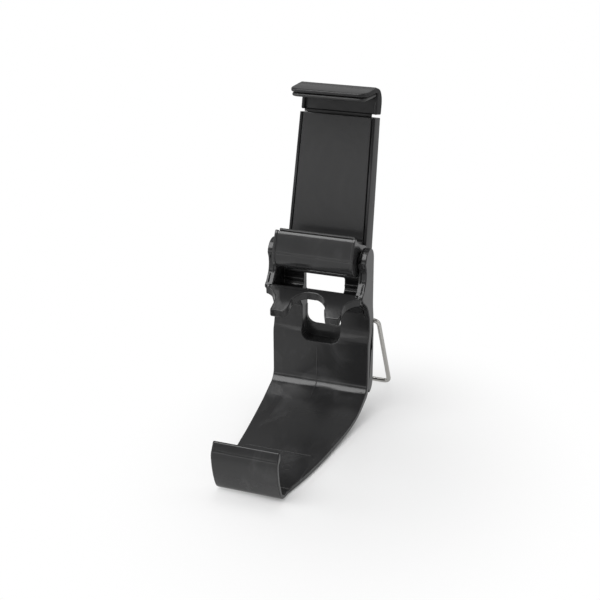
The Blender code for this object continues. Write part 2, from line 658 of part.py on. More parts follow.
def make_lower_jaw(hinge):
    half = LOWER_JAW_WIDTH / 2
    inner = half - CAP_WALL - GAP
    jaw = slab("lower_jaw", jaw_outline(), "YZ", -inner, inner, PARTS, hinge, BLACK_PLASTIC)
    core = slab("jaw_core", jaw_hollow(), "YZ", -inner - 0.001, inner + 0.001, CUTTERS, hinge)
    holes = [cylinder("jaw_screw_hole", SCREW_RADIUS + SCREW_FIT, 0.0005, PLATE_FRONT + 0.001, "Y",
                      (x, jaw_screw_height()), CUTTERS, hinge) for x in JAW_SCREWS]
    cut(jaw, [core] + holes)
    for label, side in (("left", -1), ("right", 1)):
        low, high = sorted((side * (half - CAP_WALL), side * half))
        cap = slab("end_cap_" + label, jaw_outline(), "YZ", low, high, PARTS, hinge, BLACK_PLASTIC)
        low, high = sorted((side * (half - CAP_WALL / 2), side * (EAR_INNER + TRUNNION_DEPTH)))
        pin = cylinder("trunnion", TRUNNION_RADIUS, low, high, "X", (0, 0), CUTTERS, hinge)
        low, high = sorted((side * (inner - 0.0020), side * (half - CAP_WALL / 2)))
        plug = slab("cap_plug", inset(jaw_hollow(), 0.0004), "YZ", low, high, CUTTERS, hinge)
        join(cap, [pin, plug])
        make_washer(label, side, hinge)


def make_washer(label, side, hinge):
    """Friction washer on the trunnion, between the jaw's end and the ear."""
    middle = (LOWER_JAW_WIDTH / 2 + EAR_INNER) / 2
    low, high = middle * side - WASHER_THICKNESS / 2, middle * side + WASHER_THICKNESS / 2
    washer = cylinder("friction_washer_" + label, WASHER_RADIUS, low, high, "X", (0, 0), PARTS,
                      hinge, RUBBER)
    cut(washer, [cylinder("washer_bore", TRUNNION_RADIUS + SCREW_FIT, low - 0.001, high + 0.001, "X",
                          (0, 0), CUTTERS, hinge)])


def jaw_screw_height():
    return (COVER_BASE + LEDGE_HEIGHT) / 2 + 0.0002


def plate_seat_top():
    """Top of the step in the front plate that the lower jaw and its pad lie against."""
    return LEDGE_HEIGHT + GAP + PAD_THICKNESS + 2 * GAP


def make_lower_pad(hinge):
    """Rubber strip on the ledge and up the inside of the lip, proud of the lip."""
    line = ledge_line(PLATE_FRONT - GAP) + [(-0.764 * JAW_REACH, LIP_HEIGHT)]
    under = [(t + GAP / 3, s + GAP) for t, s in line]
    top = [(under[0][0], under[0][1] + PAD_THICKNESS),
           (-0.273 * JAW_REACH, LEDGE_HEIGHT + LEDGE_RISE + PAD_THICKNESS),
           (-0.6 * JAW_REACH, LIP_HEIGHT + PAD_THICKNESS * 0.6),
           (-0.7 * JAW_REACH, LIP_HEIGHT + PAD_THICKNESS)]
    half = LOWER_JAW_WIDTH / 2 - CAP_WALL
    return slab("lower_jaw_pad", under + list(reversed(top)), "YZ", -half, half, PARTS, hinge, RUBBER)


def body_half_width(height):
    """Half width of the clamp body, which widens a little towards the lower jaw."""
    share = (height - COVER_BASE) / (PLATE_TOP - COVER_BASE)
    return (BODY_BASE_WIDTH + (BODY_TOP_WIDTH - BODY_BASE_WIDTH) * share) / 2


def body_back(height):
    share = (height - COVER_BASE) / (PLATE_TOP - COVER_BASE)
    return BODY_BASE_BACK + (BODY_TOP_BACK - BODY_BASE_BACK) * share


def cover_screws():
    """Places of the screws that hold the rear cover, as x and height."""
    return {"upper_left": (-UPPER_SCREW_X, UPPER_SCREW_HEIGHT),
            "upper_right": (UPPER_SCREW_X, UPPER_SCREW_HEIGHT),
            "lower_left": (-LOWER_SCREW_X, LOWER_SCREW_HEIGHT),
            "lower_right": (LOWER_SCREW_X, LOWER_SCREW_HEIGHT)}


def make_front_plate(hinge):
    """Front plate with bosses for the cover screws."""
    side = COVER_WALL + GAP
    low = COVER_BASE + 0.0004
    outline = [(-body_half_width(low) + side, low), (body_half_width(low) - side, low),
               (body_half_width(PLATE_TOP) - side, PLATE_TOP),
               (-body_half_width(PLATE_TOP) + side, PLATE_TOP)]
    back = PLATE_FRONT + PLATE_WALL
    plate = slab("clamp_front_plate", outline, "XZ", PLATE_FRONT, back, PARTS, hinge, BLACK_PLASTIC)
    bosses = []
    holes = []
    for x, height in cover_screws().values():
        end = body_back(height) - COVER_WALL - GAP
        bosses.append(cylinder("cover_boss", BOSS_RADIUS, PLATE_FRONT + 0.001, end, "Y", (x, height),
                               CUTTERS, hinge))
        holes.append(cylinder("boss_hole", SCREW_RADIUS + SCREW_FIT, end - SCREW_LENGTH - GAP, end + 0.001,
                              "Y", (x, height), CUTTERS, hinge))
    join(plate, bosses)
    across = BODY_BASE_WIDTH
    step = [(-across, low - 0.001), (across, low - 0.001), (across, plate_seat_top()),
            (-across, plate_seat_top())]
    holes.append(slab("jaw_seat", step, "XZ", PLATE_FRONT - 0.001, PLATE_FRONT + JAW_SEAT_DEPTH, CUTTERS,
                      hinge))
    for x in JAW_SCREWS:
        holes.append(cylinder("plate_screw_hole", SCREW_RADIUS + SCREW_FIT, PLATE_FRONT - 0.001,
                              back + 0.001, "Y", (x, jaw_screw_height()), CUTTERS, hinge))
    cut(plate, holes)
    return plate


def make_rear_cover(hinge):
    """Tray-shaped cover: its side walls come round to the front as two narrow rails."""
    base = COVER_BASE
    wedge = [(PLATE_FRONT + 0.0002, base), (body_back(base), base), (body_back(PLATE_TOP), PLATE_TOP),
             (PLATE_FRONT + 0.0002, PLATE_TOP)]
    cover = slab("clamp_rear_cover", wedge, "YZ", -BODY_BASE_WIDTH, BODY_BASE_WIDTH, PARTS, hinge,
                 BLACK_PLASTIC)
    front = [(-body_half_width(base), base - 0.001), (body_half_width(base), base - 0.001),
             (body_half_width(PLATE_TOP), PLATE_TOP + 0.001),
             (-body_half_width(PLATE_TOP), PLATE_TOP + 0.001)]
    trim(cover, slab("cover_front_outline", front, "XZ", 0.0, BODY_BASE_BACK + 0.002, CUTTERS, hinge))
    bevel(cover, 0.0007, 2, 60)
    wall = COVER_WALL
    room = [(0.0, base - 0.002), (body_back(base) - wall, base - 0.002),
            (body_back(PLATE_TOP) - wall, PLATE_TOP + 0.002), (0.0, PLATE_TOP + 0.002)]
    pocket = slab("cover_room", room, "YZ", -BODY_BASE_WIDTH, BODY_BASE_WIDTH, CUTTERS, hinge)
    inside = [(-body_half_width(base) + wall, base - 0.003), (body_half_width(base) - wall, base - 0.003),
              (body_half_width(PLATE_TOP) - wall, PLATE_TOP + 0.003),
              (-body_half_width(PLATE_TOP) + wall, PLATE_TOP + 0.003)]
    trim(pocket, slab("cover_room_outline", inside, "XZ", -0.001, BODY_BASE_BACK + 0.003, CUTTERS, hinge))
    holes = [pocket]
    for x, height in cover_screws().values():
        holes.append(cylinder("cover_hole", SCREW_RADIUS + SCREW_FIT, BODY_TOP_BACK - 0.004,
                              BODY_BASE_BACK + 0.002, "Y", (x, height), CUTTERS, hinge))
    cut(cover, holes)
    return cover


def screw(name, x, height, head_front, parent, length=SCREW_LENGTH):
    """Pan-head screw along y, its head behind head_front and its shank ahead of it."""
    body = cylinder(name, SCREW_HEAD_RADIUS, head_front, head_front + SCREW_HEAD_HEIGHT, "Y",
                    (x, height), PARTS, parent, STEEL)
    shank = cylinder("screw_shank", SCREW_RADIUS, head_front - length, head_front + 0.0004, "Y",
                     (x, height), CUTTERS, parent)
    join(body, [shank])
    arm = SCREW_HEAD_RADIUS * 0.55
    for turned in (False, True):
        u, v = (arm, 0.0002) if turned else (0.0002, arm)
        cross = [(x - u, height - v), (x + u, height - v), (x + u, height + v), (x - u, height + v)]
        cut(body, [slab("screw_cross", cross, "XZ", head_front + SCREW_HEAD_HEIGHT * 0.4,
                        head_front + SCREW_HEAD_HEIGHT + 0.0005, CUTTERS, parent)])
    return body


def make_slide(slide):
    """Tongue inside the clamp body, with two slots that run on the upper screw bosses."""
    top = STEM_BASE + TONGUE_OVERLAP
    outline = rounded_box(TONGUE_LEFT, TONGUE_RIGHT, TONGUE_BASE, top, 0.0008, 2)
    tongue = slab("slide_tongue", outline, "XZ", TONGUE_FRONT, TONGUE_BACK, PARTS, slide, BLACK_PLASTIC)
    half = BOSS_RADIUS + GAP
    slots = []
    for x in (-UPPER_SCREW_X, UPPER_SCREW_X):
        slot = rounded_box(x - half, x + half, SLOT_END, UPPER_SCREW_HEIGHT + half, half * 0.98)
        slots.append(slab("boss_slot", slot, "XZ", TONGUE_FRONT - 0.001, TONGUE_BACK + 0.001, CUTTERS,
                          slide))
    for x in STEM_SCREWS:
        slots.append(cylinder("tongue_screw_hole", SCREW_RADIUS + SCREW_FIT, TONGUE_FRONT - 0.001,
                              TONGUE_BACK + 0.001, "Y", (x, STEM_BASE + 0.0045), CUTTERS, slide))
    cut(tongue, slots)
    return tongue


def upper_jaw_plan(shrink):
    """Plan of the upper jaw, straight at the back and round at its front corners."""
    half = UPPER_JAW_WIDTH / 2 - shrink
    front = shrink - UPPER_JAW_REACH
    corner = UPPER_JAW_CORNER - shrink
    back = BODY_TOP_BACK + 0.002
    line = arc((-half + corner, front + corner), corner, 180, 270)
    line += arc((half - corner, front + corner), corner, 270, 360)
    return line + [(half, back), (-half, back)]


def jaw_top(t):
    """The upper jaw's top face falls towards the front, so that it is about level when it leans."""
    return UPPER_JAW_TOP + math.tan(math.radians(UPPER_JAW_SLOPE_DEG)) * (t - PLATE_FRONT * 0.64)


def jaw_underside(t):
    """The top slab is thinner at its front edge than at the stem."""
    share = (t + UPPER_JAW_REACH) / (PLATE_FRONT + UPPER_JAW_SIDE + UPPER_JAW_REACH)
    return jaw_top(t) - UPPER_JAW_EDGE - (UPPER_JAW_WALL - UPPER_JAW_EDGE) * share


def make_upper_jaw(slide):
    """Upper jaw: a sloping top slab bent down into a tray-shaped stem with side walls."""
    back = BODY_TOP_BACK
    bend = UPPER_JAW_BEND
    front = -UPPER_JAW_REACH
    top = UPPER_JAW_TOP
    wall = UPPER_JAW_WALL
    stem = PLATE_FRONT + UPPER_JAW_SIDE
    outer = [(front, jaw_top(front)), (back - bend - 0.003, top + 0.0003)]
    outer += arc((back - bend, top - bend), bend, 82, 0, 6)
    outline = [(front, jaw_underside(front))] + outer + [(back, STEM_BASE)]
    outline += [(stem, STEM_BASE), (stem, jaw_underside(stem))]
    jaw = slab("upper_jaw", outline, "YZ", -UPPER_JAW_WIDTH / 2 - 0.001, UPPER_JAW_WIDTH / 2 + 0.001,
               PARTS, slide, BLACK_PLASTIC)
    trim(jaw, slab("upper_jaw_plan", upper_jaw_plan(0.0), "XY", STEM_BASE - 0.002, top + 0.004,
                   CUTTERS, slide))
    inner = UPPER_JAW_WIDTH / 2 - UPPER_JAW_SIDE
    tray = slab("tray", [(-inner, STEM_BASE - 0.002), (inner, STEM_BASE - 0.002), (inner, top - wall - 0.0006),
                         (-inner, top - wall - 0.0006)], "XZ", 0.0, TONGUE_FRONT - 0.0012, CUTTERS, slide)
    seat_top = STEM_BASE + TONGUE_OVERLAP + GAP
    seat = slab("tongue_seat", rounded_box(TONGUE_LEFT - GAP, TONGUE_RIGHT + GAP, STEM_BASE - 0.004,
                                           seat_top, 0.0008, 2), "XZ",
                TONGUE_FRONT - GAP, TONGUE_BACK + GAP, CUTTERS, slide)
    relief = slab("seat_back", [(TONGUE_LEFT - GAP, STEM_BASE - 0.004), (TONGUE_RIGHT + GAP, STEM_BASE - 0.004),
                                (TONGUE_RIGHT + GAP, seat_top), (TONGUE_LEFT - GAP, seat_top)],
                  "XZ", TONGUE_BACK, back + 0.002, CUTTERS, slide)
    holes = [cylinder("stem_hole", SCREW_RADIUS + SCREW_FIT, TONGUE_FRONT - 0.0010, back + 0.002, "Y",
                      (x, STEM_BASE + 0.0045), CUTTERS, slide) for x in STEM_SCREWS]
    cut(jaw, [tray, seat, relief] + holes)
    return jaw


def make_upper_pad(slide):
    """Rubber pad under the upper jaw, with a lip turned down at the front."""
    front = UPPER_PAD_INSET - UPPER_JAW_REACH
    back = PLATE_FRONT + UPPER_PAD_INSET
    thick = UPPER_PAD_THICKNESS + GAP
    lip = thick + UPPER_PAD_LIP
    outline = [(front, jaw_underside(front) - GAP), (back, jaw_underside(back) - GAP),
               (back, jaw_underside(back) - thick), (front + 0.0024, jaw_underside(front + 0.0024) - thick),
               (front + 0.0016, jaw_underside(front) - lip), (front, jaw_underside(front) - lip)]
    half = UPPER_JAW_WIDTH / 2
    pad = slab("upper_jaw_pad", outline, "YZ", -half, half, PARTS, slide, RUBBER)
    trim(pad, slab("upper_pad_plan", upper_jaw_plan(UPPER_PAD_INSET), "XY", STEM_BASE - 0.002,
                   UPPER_JAW_TOP + 0.004, CUTTERS, slide))
    return pad


PARTS, CUTTERS = start_scene()
BLACK_PLASTIC = ("black_plastic", (0.030, 0.030, 0.032), 0.32)
RUBBER = ("black_rubber", (0.012, 0.012, 0.012), 0.75)
STEEL = ("steel_wire", (0.62, 0.60, 0.56), 0.28, 1.0)

ROOT = frame_empty("holder_frame", (0, ORIGIN_SHIFT, 0))
HINGE = frame_empty("clamp_hinge", (0, HINGE_Y, HINGE_Z), ROOT, -math.radians(HINGE_LEAN_DEG))
SLIDE = frame_empty("jaw_slide", (0, 0, 0), HINGE)
STAND = frame_empty("stand_hinge", (0, STAND_HINGE_Y, STAND_HINGE_Z), ROOT)

make_bracket(ROOT)
make_stand(STAND)
make_lower_jaw(HINGE)
make_lower_pad(HINGE)
make_front_plate(HINGE)
make_rear_cover(HINGE)
for label, (screw_x, screw_height) in cover_screws().items():
    screw("cover_screw_" + label, screw_x, screw_height, body_back(screw_height) + GAP, HINGE)
for label, screw_x in zip(("left", "right"), JAW_SCREWS):
    screw("jaw_mount_screw_" + label, screw_x, jaw_screw_height(), PLATE_FRONT + PLATE_WALL + GAP, HINGE)
make_slide(SLIDE)
make_upper_jaw(SLIDE)
make_upper_pad(SLIDE)
for label, screw_x in zip(("left", "right"), STEM_SCREWS):
    screw("stem_screw_" + label, screw_x, STEM_BASE + 0.0045, TONGUE_BACK + GAP, SLIDE,
          TONGUE_THICKNESS + 0.0010)
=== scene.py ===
"""Looks of the controller phone holder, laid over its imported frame."""
import math

import bmesh
import bpy
import numpy as np
from mathutils import Matrix, Vector


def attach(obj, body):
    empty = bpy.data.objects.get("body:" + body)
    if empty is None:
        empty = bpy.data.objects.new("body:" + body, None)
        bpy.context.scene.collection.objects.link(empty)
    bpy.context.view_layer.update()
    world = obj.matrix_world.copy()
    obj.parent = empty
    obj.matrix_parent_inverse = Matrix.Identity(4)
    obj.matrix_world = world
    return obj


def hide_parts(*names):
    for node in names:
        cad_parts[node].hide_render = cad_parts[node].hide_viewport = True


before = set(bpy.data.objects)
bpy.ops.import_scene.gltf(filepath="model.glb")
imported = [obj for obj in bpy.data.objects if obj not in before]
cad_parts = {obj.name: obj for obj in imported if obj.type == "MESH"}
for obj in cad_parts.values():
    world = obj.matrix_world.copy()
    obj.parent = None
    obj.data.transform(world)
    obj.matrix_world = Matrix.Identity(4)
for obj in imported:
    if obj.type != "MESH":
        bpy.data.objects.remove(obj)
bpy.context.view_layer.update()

# The view
# The holder stands a little turned, seen from above its right front corner. A long lens about half
# a metre away keeps its upright lines nearly parallel.
MM = 0.001
VIEW_PLACE = Vector((163.4, -434.95, 257.0)) * MM
VIEW_TURN = math.radians(20.448)
VIEW_PITCH = math.radians(23.008)
VIEW_ROLL = math.radians(-0.189)
VIEW_LENS = 76.1056
SENSOR = 36.0
NEAREST = 0.01


def place_camera():
    """Camera axes: back along the view, right along the ground, then both turned by the roll."""
    back = Vector((math.sin(VIEW_TURN) * math.cos(VIEW_PITCH),
                   -math.cos(VIEW_TURN) * math.cos(VIEW_PITCH), math.sin(VIEW_PITCH)))
    right = Vector((math.cos(VIEW_TURN), math.sin(VIEW_TURN), 0.0))
    up = back.cross(right)
    level_right = math.cos(VIEW_ROLL) * right + math.sin(VIEW_ROLL) * up
    level_up = math.cos(VIEW_ROLL) * up - math.sin(VIEW_ROLL) * right
    lens = bpy.data.cameras.new("view")
    lens.lens = VIEW_LENS
    lens.sensor_width = SENSOR
    lens.sensor_fit = "HORIZONTAL"
    lens.clip_start = NEAREST
    camera = bpy.data.objects.new("view", lens)
    bpy.context.scene.collection.objects.link(camera)
    turned = Matrix((level_right, level_up, back)).transposed().to_4x4()
    camera.matrix_world = Matrix.Translation(VIEW_PLACE) @ turned
    bpy.context.scene.camera = camera


place_camera()
bpy.context.scene.view_settings.view_transform = "Standard"

# The table and the light
# A white glossy table runs out into a white backdrop, in a studio that is light down low and dim
# overhead, with soft boxes at the upper left front, above and at both sides, and a low strip in
# front. The table keeps a soft shadow and a faint mirror image of the holder.
TABLE_REACH = 3.0
TABLE_DROP = 0.00005
TABLE_GREY = 0.88
TABLE_ROUGHNESS = 0.20
TABLE_SPECULAR = 0.30
SHADE_CENTRE = (0.030, -0.022, 0.0)
SHADE_SHARE = 0.78
WHITE_FROM = 0.0
WHITE_BY = 0.10
SKY_GREY = 0.24
LOW_GREY = 0.60
LOW_TILT = 0.22
MIRRORED_TABLE = 0.62
WHITE_HEIGHT = 0.30
WHITE_TILT = 0.16
WHITE_BLUR = 0.16
ROOM_LIGHT = 0.42
AIM_LOW = (0.0, 0.0, 0.05)
AIM_HIGH = (0.0, 0.0, 0.06)


def wired(owner):
    """Node tree, its nodes' maker and its linker, for a material or a world that starts empty."""
    owner.use_nodes = True
    tree = owner.node_tree
    tree.nodes.clear()
    return tree, tree.nodes.new, tree.links.new


def calculated(tree, operation, *given):
    """The output of a math node, each input a number or another node's output."""
    node = tree.nodes.new("ShaderNodeMath")
    node.operation = operation
    for socket, value in zip(node.inputs, given):
        if isinstance(value, (int, float)):
            socket.default_value = value
        else:
            tree.links.new(value, socket)
    return node.outputs[0]


def table_surface():
    """White lacquer that turns to plain white light with distance from the holder's shadow."""
    material = bpy.data.materials.new("white_table")
    tree, add, link = wired(material)
    out = add("ShaderNodeOutputMaterial")
    lacquer = add("ShaderNodeBsdfPrincipled")
    lacquer.inputs["Base Color"].default_value = (TABLE_GREY, TABLE_GREY, TABLE_GREY, 1)
    lacquer.inputs["Roughness"].default_value = TABLE_ROUGHNESS
    lacquer.inputs["Specular IOR Level"].default_value = TABLE_SPECULAR
    white = add("ShaderNodeEmission")
    path = add("ShaderNodeLightPath")
    seen = add("ShaderNodeMapRange")
    seen.inputs["To Min"].default_value = 1.0
    seen.inputs["To Max"].default_value = MIRRORED_TABLE
    link(path.outputs["Is Glossy Ray"], seen.inputs["Value"])
    link(seen.outputs["Result"], white.inputs["Strength"])
    place = add("ShaderNodeTexCoord")
    moved = add("ShaderNodeVectorMath")
    moved.operation = "SUBTRACT"
    moved.inputs[1].default_value = SHADE_CENTRE
    link(place.outputs["Object"], moved.inputs[0])
    drawn = add("ShaderNodeVectorMath")
    drawn.operation = "MULTIPLY"
    drawn.inputs[1].default_value = (1.0, SHADE_SHARE, 1.0)
    link(moved.outputs["Vector"], drawn.inputs[0])
    distance = add("ShaderNodeVectorMath")
    distance.operation = "LENGTH"
    link(drawn.outputs["Vector"], distance.inputs[0])
    fade = add("ShaderNodeMapRange")
    fade.interpolation_type = "SMOOTHSTEP"
    fade.inputs["From Min"].default_value = WHITE_FROM
    fade.inputs["From Max"].default_value = WHITE_BY
    link(distance.outputs["Value"], fade.inputs["Value"])
    mix = add("ShaderNodeMixShader")
    link(fade.outputs["Result"], mix.inputs[0])
    link(lacquer.outputs[0], mix.inputs[1])
    link(white.outputs[0], mix.inputs[2])
    link(mix.outputs[0], out.inputs["Surface"])
    return material


def table():
    """One flat square under the holder."""
    corners = TABLE_REACH * np.array([[-1, -1], [1, -1], [1, 1], [-1, 1]])
    points = np.column_stack([corners, np.full(4, -TABLE_DROP)])
    mesh = bpy.data.meshes.new("table")
    mesh.from_pydata(points.tolist(), [], [(0, 1, 2, 3)])
    mesh.materials.append(table_surface())
    top = bpy.data.objects.new("table", mesh)
    bpy.context.scene.collection.objects.link(top)


def room():
    """White where the camera looks, and an even grey as light. Mirrors find it light below a height
    that rises from front to back, the lighter the further in front, and dim above that."""
    world = bpy.data.worlds.new("room")
    bpy.context.scene.world = world
    tree, add, link = wired(world)
    out = add("ShaderNodeOutputWorld")
    light = add("ShaderNodeBackground")
    light.inputs["Strength"].default_value = ROOM_LIGHT
    seen = add("ShaderNodeBackground")
    seen.inputs["Color"].default_value = (1, 1, 1, 1)
    seen.inputs["Strength"].default_value = 1.0
    mirrored = add("ShaderNodeBackground")
    direction = add("ShaderNodeTexCoord")
    apart = add("ShaderNodeSeparateXYZ")
    link(direction.outputs["Generated"], apart.inputs[0])
    edge = calculated(tree, "MULTIPLY_ADD", apart.outputs["Y"], -WHITE_TILT, apart.outputs["Z"])
    fall = add("ShaderNodeMapRange")
    fall.interpolation_type = "SMOOTHSTEP"
    fall.inputs["From Min"].default_value = WHITE_HEIGHT - WHITE_BLUR
    fall.inputs["From Max"].default_value = WHITE_HEIGHT + WHITE_BLUR
    fall.inputs["To Max"].default_value = SKY_GREY
    low = calculated(tree, "MULTIPLY_ADD", apart.outputs["Y"], -LOW_TILT, LOW_GREY)
    link(low, fall.inputs["To Min"])
    link(edge, fall.inputs["Value"])
    link(fall.outputs["Result"], mirrored.inputs["Strength"])
    path = add("ShaderNodeLightPath")
    through = calculated(tree, "MAXIMUM", path.outputs["Is Camera Ray"],
                         path.outputs["Is Transmission Ray"])
    gloss = add("ShaderNodeMixShader")
    link(path.outputs["Is Glossy Ray"], gloss.inputs[0])
    link(light.outputs[0], gloss.inputs[1])
    link(mirrored.outputs[0], gloss.inputs[2])
    mix = add("ShaderNodeMixShader")
    link(through, mix.inputs[0])
    link(gloss.outputs[0], mix.inputs[1])
    link(seen.outputs[0], mix.inputs[2])
    link(mix.outputs[0], out.inputs["Surface"])


def soft_box(name, place, aim, width, height, power):
    """A rectangular lamp that faces a point."""
    lamp = bpy.data.lights.new(name, "AREA")
    lamp.shape = "RECTANGLE"
    lamp.size = width
    lamp.size_y = height
    lamp.energy = power
    box = bpy.data.objects.new(name, lamp)
    bpy.context.scene.collection.objects.link(box)
    box.location = place
    box.rotation_euler = (Vector(aim) - Vector(place)).to_track_quat("-Z", "Y").to_euler()


table()
room()
soft_box("upper_front_box", (-0.34, -0.46, 0.88), AIM_LOW, 0.60, 0.80, 6.8)
soft_box("top_box", (-0.10, 0.22, 0.95), AIM_LOW, 0.35, 0.45, 1.5)
soft_box("front_strip", (-0.34, -0.94, 0.27), AIM_HIGH, 0.90, 0.12, 0.55)
soft_box("left_box", (-0.95, -0.30, 0.45), AIM_HIGH, 0.40, 0.60, 1.8)
soft_box("right_box", (0.90, 0.25, 0.55), AIM_HIGH, 0.40, 0.60, 1.4)

# The bracket
# One black ABS moulding: hook, strap, upright with its port, shelf, cradle and ears. Its surface is
# the satin of a fine mould, with flow marks and rubs, the weld line up the middle of the upright,
# the edge of the mould's insert behind the hook and the mark of an ejector pin.
BRACKET_EDGE = 0.45 * MM
# Two boxes: the low corner and the high corner in millimetres, and the share of the rounding there
PORT_STEPS = ((-8.9, 33.3, 28.5), (8.9, 36.5, 46.0), 0.15)
WINDOW_RIM = ((-9.5, 26.5, 49.2), (9.5, 36.5, 58.8), 0.35)
CREASE_Y = (25.7, 27.6)
CREASE_Z = (8.2, 11.2)
CREASE_CORNER = (27.53, 8.82)
CREASE_RAISED = (27.53, 9.60)
CREASE_SCALE = 1.7
CREASE_LEAD = 0.7
LEAD_Y = (15.0, 25.0)
LEAD_FULL_Y = 22.24
LEAD_TOP_Z = 9.0
STRAP_MIDDLE = (0.32, -0.3)
SHELF_Z = (47.5, 56.0)
PRONG_BROADER = 1.2
OUTER_PRONG_X = (13.5, 19.5)
OUTER_PRONG_ROOT = 17.6
OUTER_PRONG_RUN = 10.0
INNER_PRONG_X = (-10.2, -7.0)
INNER_PRONG_ROOT = 13.5
INNER_PRONG_RUN = 6.5
FLAT_SEAM = math.radians(0.6)
ROUNDED_FROM = math.radians(24)
SHARP_FROM = math.radians(60)
# The marks: where they are, how far they reach, and the ridges as inner width, outer width, height
FLOOR_TOP = (8.0 * MM, 10.0 * MM)
FLOOR_FRONT = (-50.0 * MM, -48.0 * MM)
WALL_FRONT = (18.0 * MM, 20.0 * MM)
WALL_TOP = (25.0 * MM, 27.0 * MM)
PIN_PLACE = (7.4 * MM, -31.5 * MM)
PIN_RADIUS = 1.75 * MM
PIN_RIDGE = (0.04 * MM, 0.22 * MM, 4.0)
INSERT_CENTRE = (0.0, -33.0 * MM)
INSERT_HALF = (15.4 * MM, 12.8 * MM)
INSERT_CORNER = 3.0 * MM
INSERT_RIDGE = (0.02 * MM, 0.20 * MM, 5.0)
WELD_X = -1.3 * MM
WELD_RIDGE = (0.03 * MM, 0.30 * MM, 4.0)
# The satin: how the cloud of flow marks is drawn out, its scale, and where a rub starts and ends
FLOW_DRAWN = (1.0, 0.45, 0.7)
FLOW_SCALE = 70.0
RUB_RANGE = (0.50, 0.74)
BUMP_HEIGHT = 0.04 * MM
BUMP_STRENGTH = 0.6
SIDE_FACING = (0.75, 0.95)


def group(name, inputs, outputs):
    """An empty shader node group with named sockets."""
    made = bpy.data.node_groups.new(name, "ShaderNodeTree")
    for way, sockets in (("INPUT", inputs), ("OUTPUT", outputs)):
        for label, kind in sockets:
            made.interface.new_socket(label, in_out=way, socket_type=kind)
    return made, made.nodes.new("NodeGroupInput"), made.nodes.new("NodeGroupOutput")


def faded(tree, value, low, high, start=0.0, end=1.0):
    """A value that turns smoothly from start at low to end at high."""
    node = tree.nodes.new("ShaderNodeMapRange")
    node.interpolation_type = "SMOOTHSTEP"
    for label, number in (("From Min", low), ("From Max", high), ("To Min", start), ("To Max", end)):
        node.inputs[label].default_value = number
    tree.links.new(value, node.inputs["Value"])
    return node.outputs["Result"]


def satin_group():
    """Fine mould grain, flow marks and rubs: a colour, a roughness and a bump height."""
    made, given, result = group(
        "satin_moulding",
        [("Colour", "NodeSocketColor"), ("Rubbed", "NodeSocketColor"), ("Roughness", "NodeSocketFloat"),
         ("Spread", "NodeSocketFloat"), ("Grain Size", "NodeSocketFloat"),
         ("Grain Depth", "NodeSocketFloat"), ("Flow Depth", "NodeSocketFloat")],
        [("Colour", "NodeSocketColor"), ("Roughness", "NodeSocketFloat"), ("Height", "NodeSocketFloat")])
    add, link = made.nodes.new, made.links.new
    place = add("ShaderNodeTexCoord")
    drawn = add("ShaderNodeMapping")
    drawn.inputs["Scale"].default_value = FLOW_DRAWN
    link(place.outputs["Object"], drawn.inputs["Vector"])
    cloud = add("ShaderNodeTexNoise")
    cloud.inputs["Scale"].default_value = FLOW_SCALE
    cloud.inputs["Detail"].default_value = 5.0
    cloud.inputs["Roughness"].default_value = 0.58
    cloud.inputs["Distortion"].default_value = 0.6
    link(drawn.outputs["Vector"], cloud.inputs["Vector"])
    grain = add("ShaderNodeTexNoise")
    grain.inputs["Detail"].default_value = 2.0
    link(place.outputs["Object"], grain.inputs["Vector"])
    link(given.outputs["Grain Size"], grain.inputs["Scale"])
    rub = faded(made, cloud.outputs["Fac"], *RUB_RANGE)
    tint = add("ShaderNodeMix")
    tint.data_type = "RGBA"
    link(rub, tint.inputs["Factor"])
    link(given.outputs["Colour"], tint.inputs["A"])
    link(given.outputs["Rubbed"], tint.inputs["B"])
    centred = calculated(made, "SUBTRACT", cloud.outputs["Fac"], 0.5)
    spread = calculated(made, "MULTIPLY_ADD", centred, given.outputs["Spread"], given.outputs["Roughness"])
    fine = calculated(made, "MULTIPLY", grain.outputs["Fac"], given.outputs["Grain Depth"])
    height = calculated(made, "MULTIPLY_ADD", cloud.outputs["Fac"], given.outputs["Flow Depth"], fine)
    link(tint.outputs["Result"], result.inputs["Colour"])
    link(spread, result.inputs["Roughness"])
    link(height, result.inputs["Height"])
    return made


SATIN = satin_group()


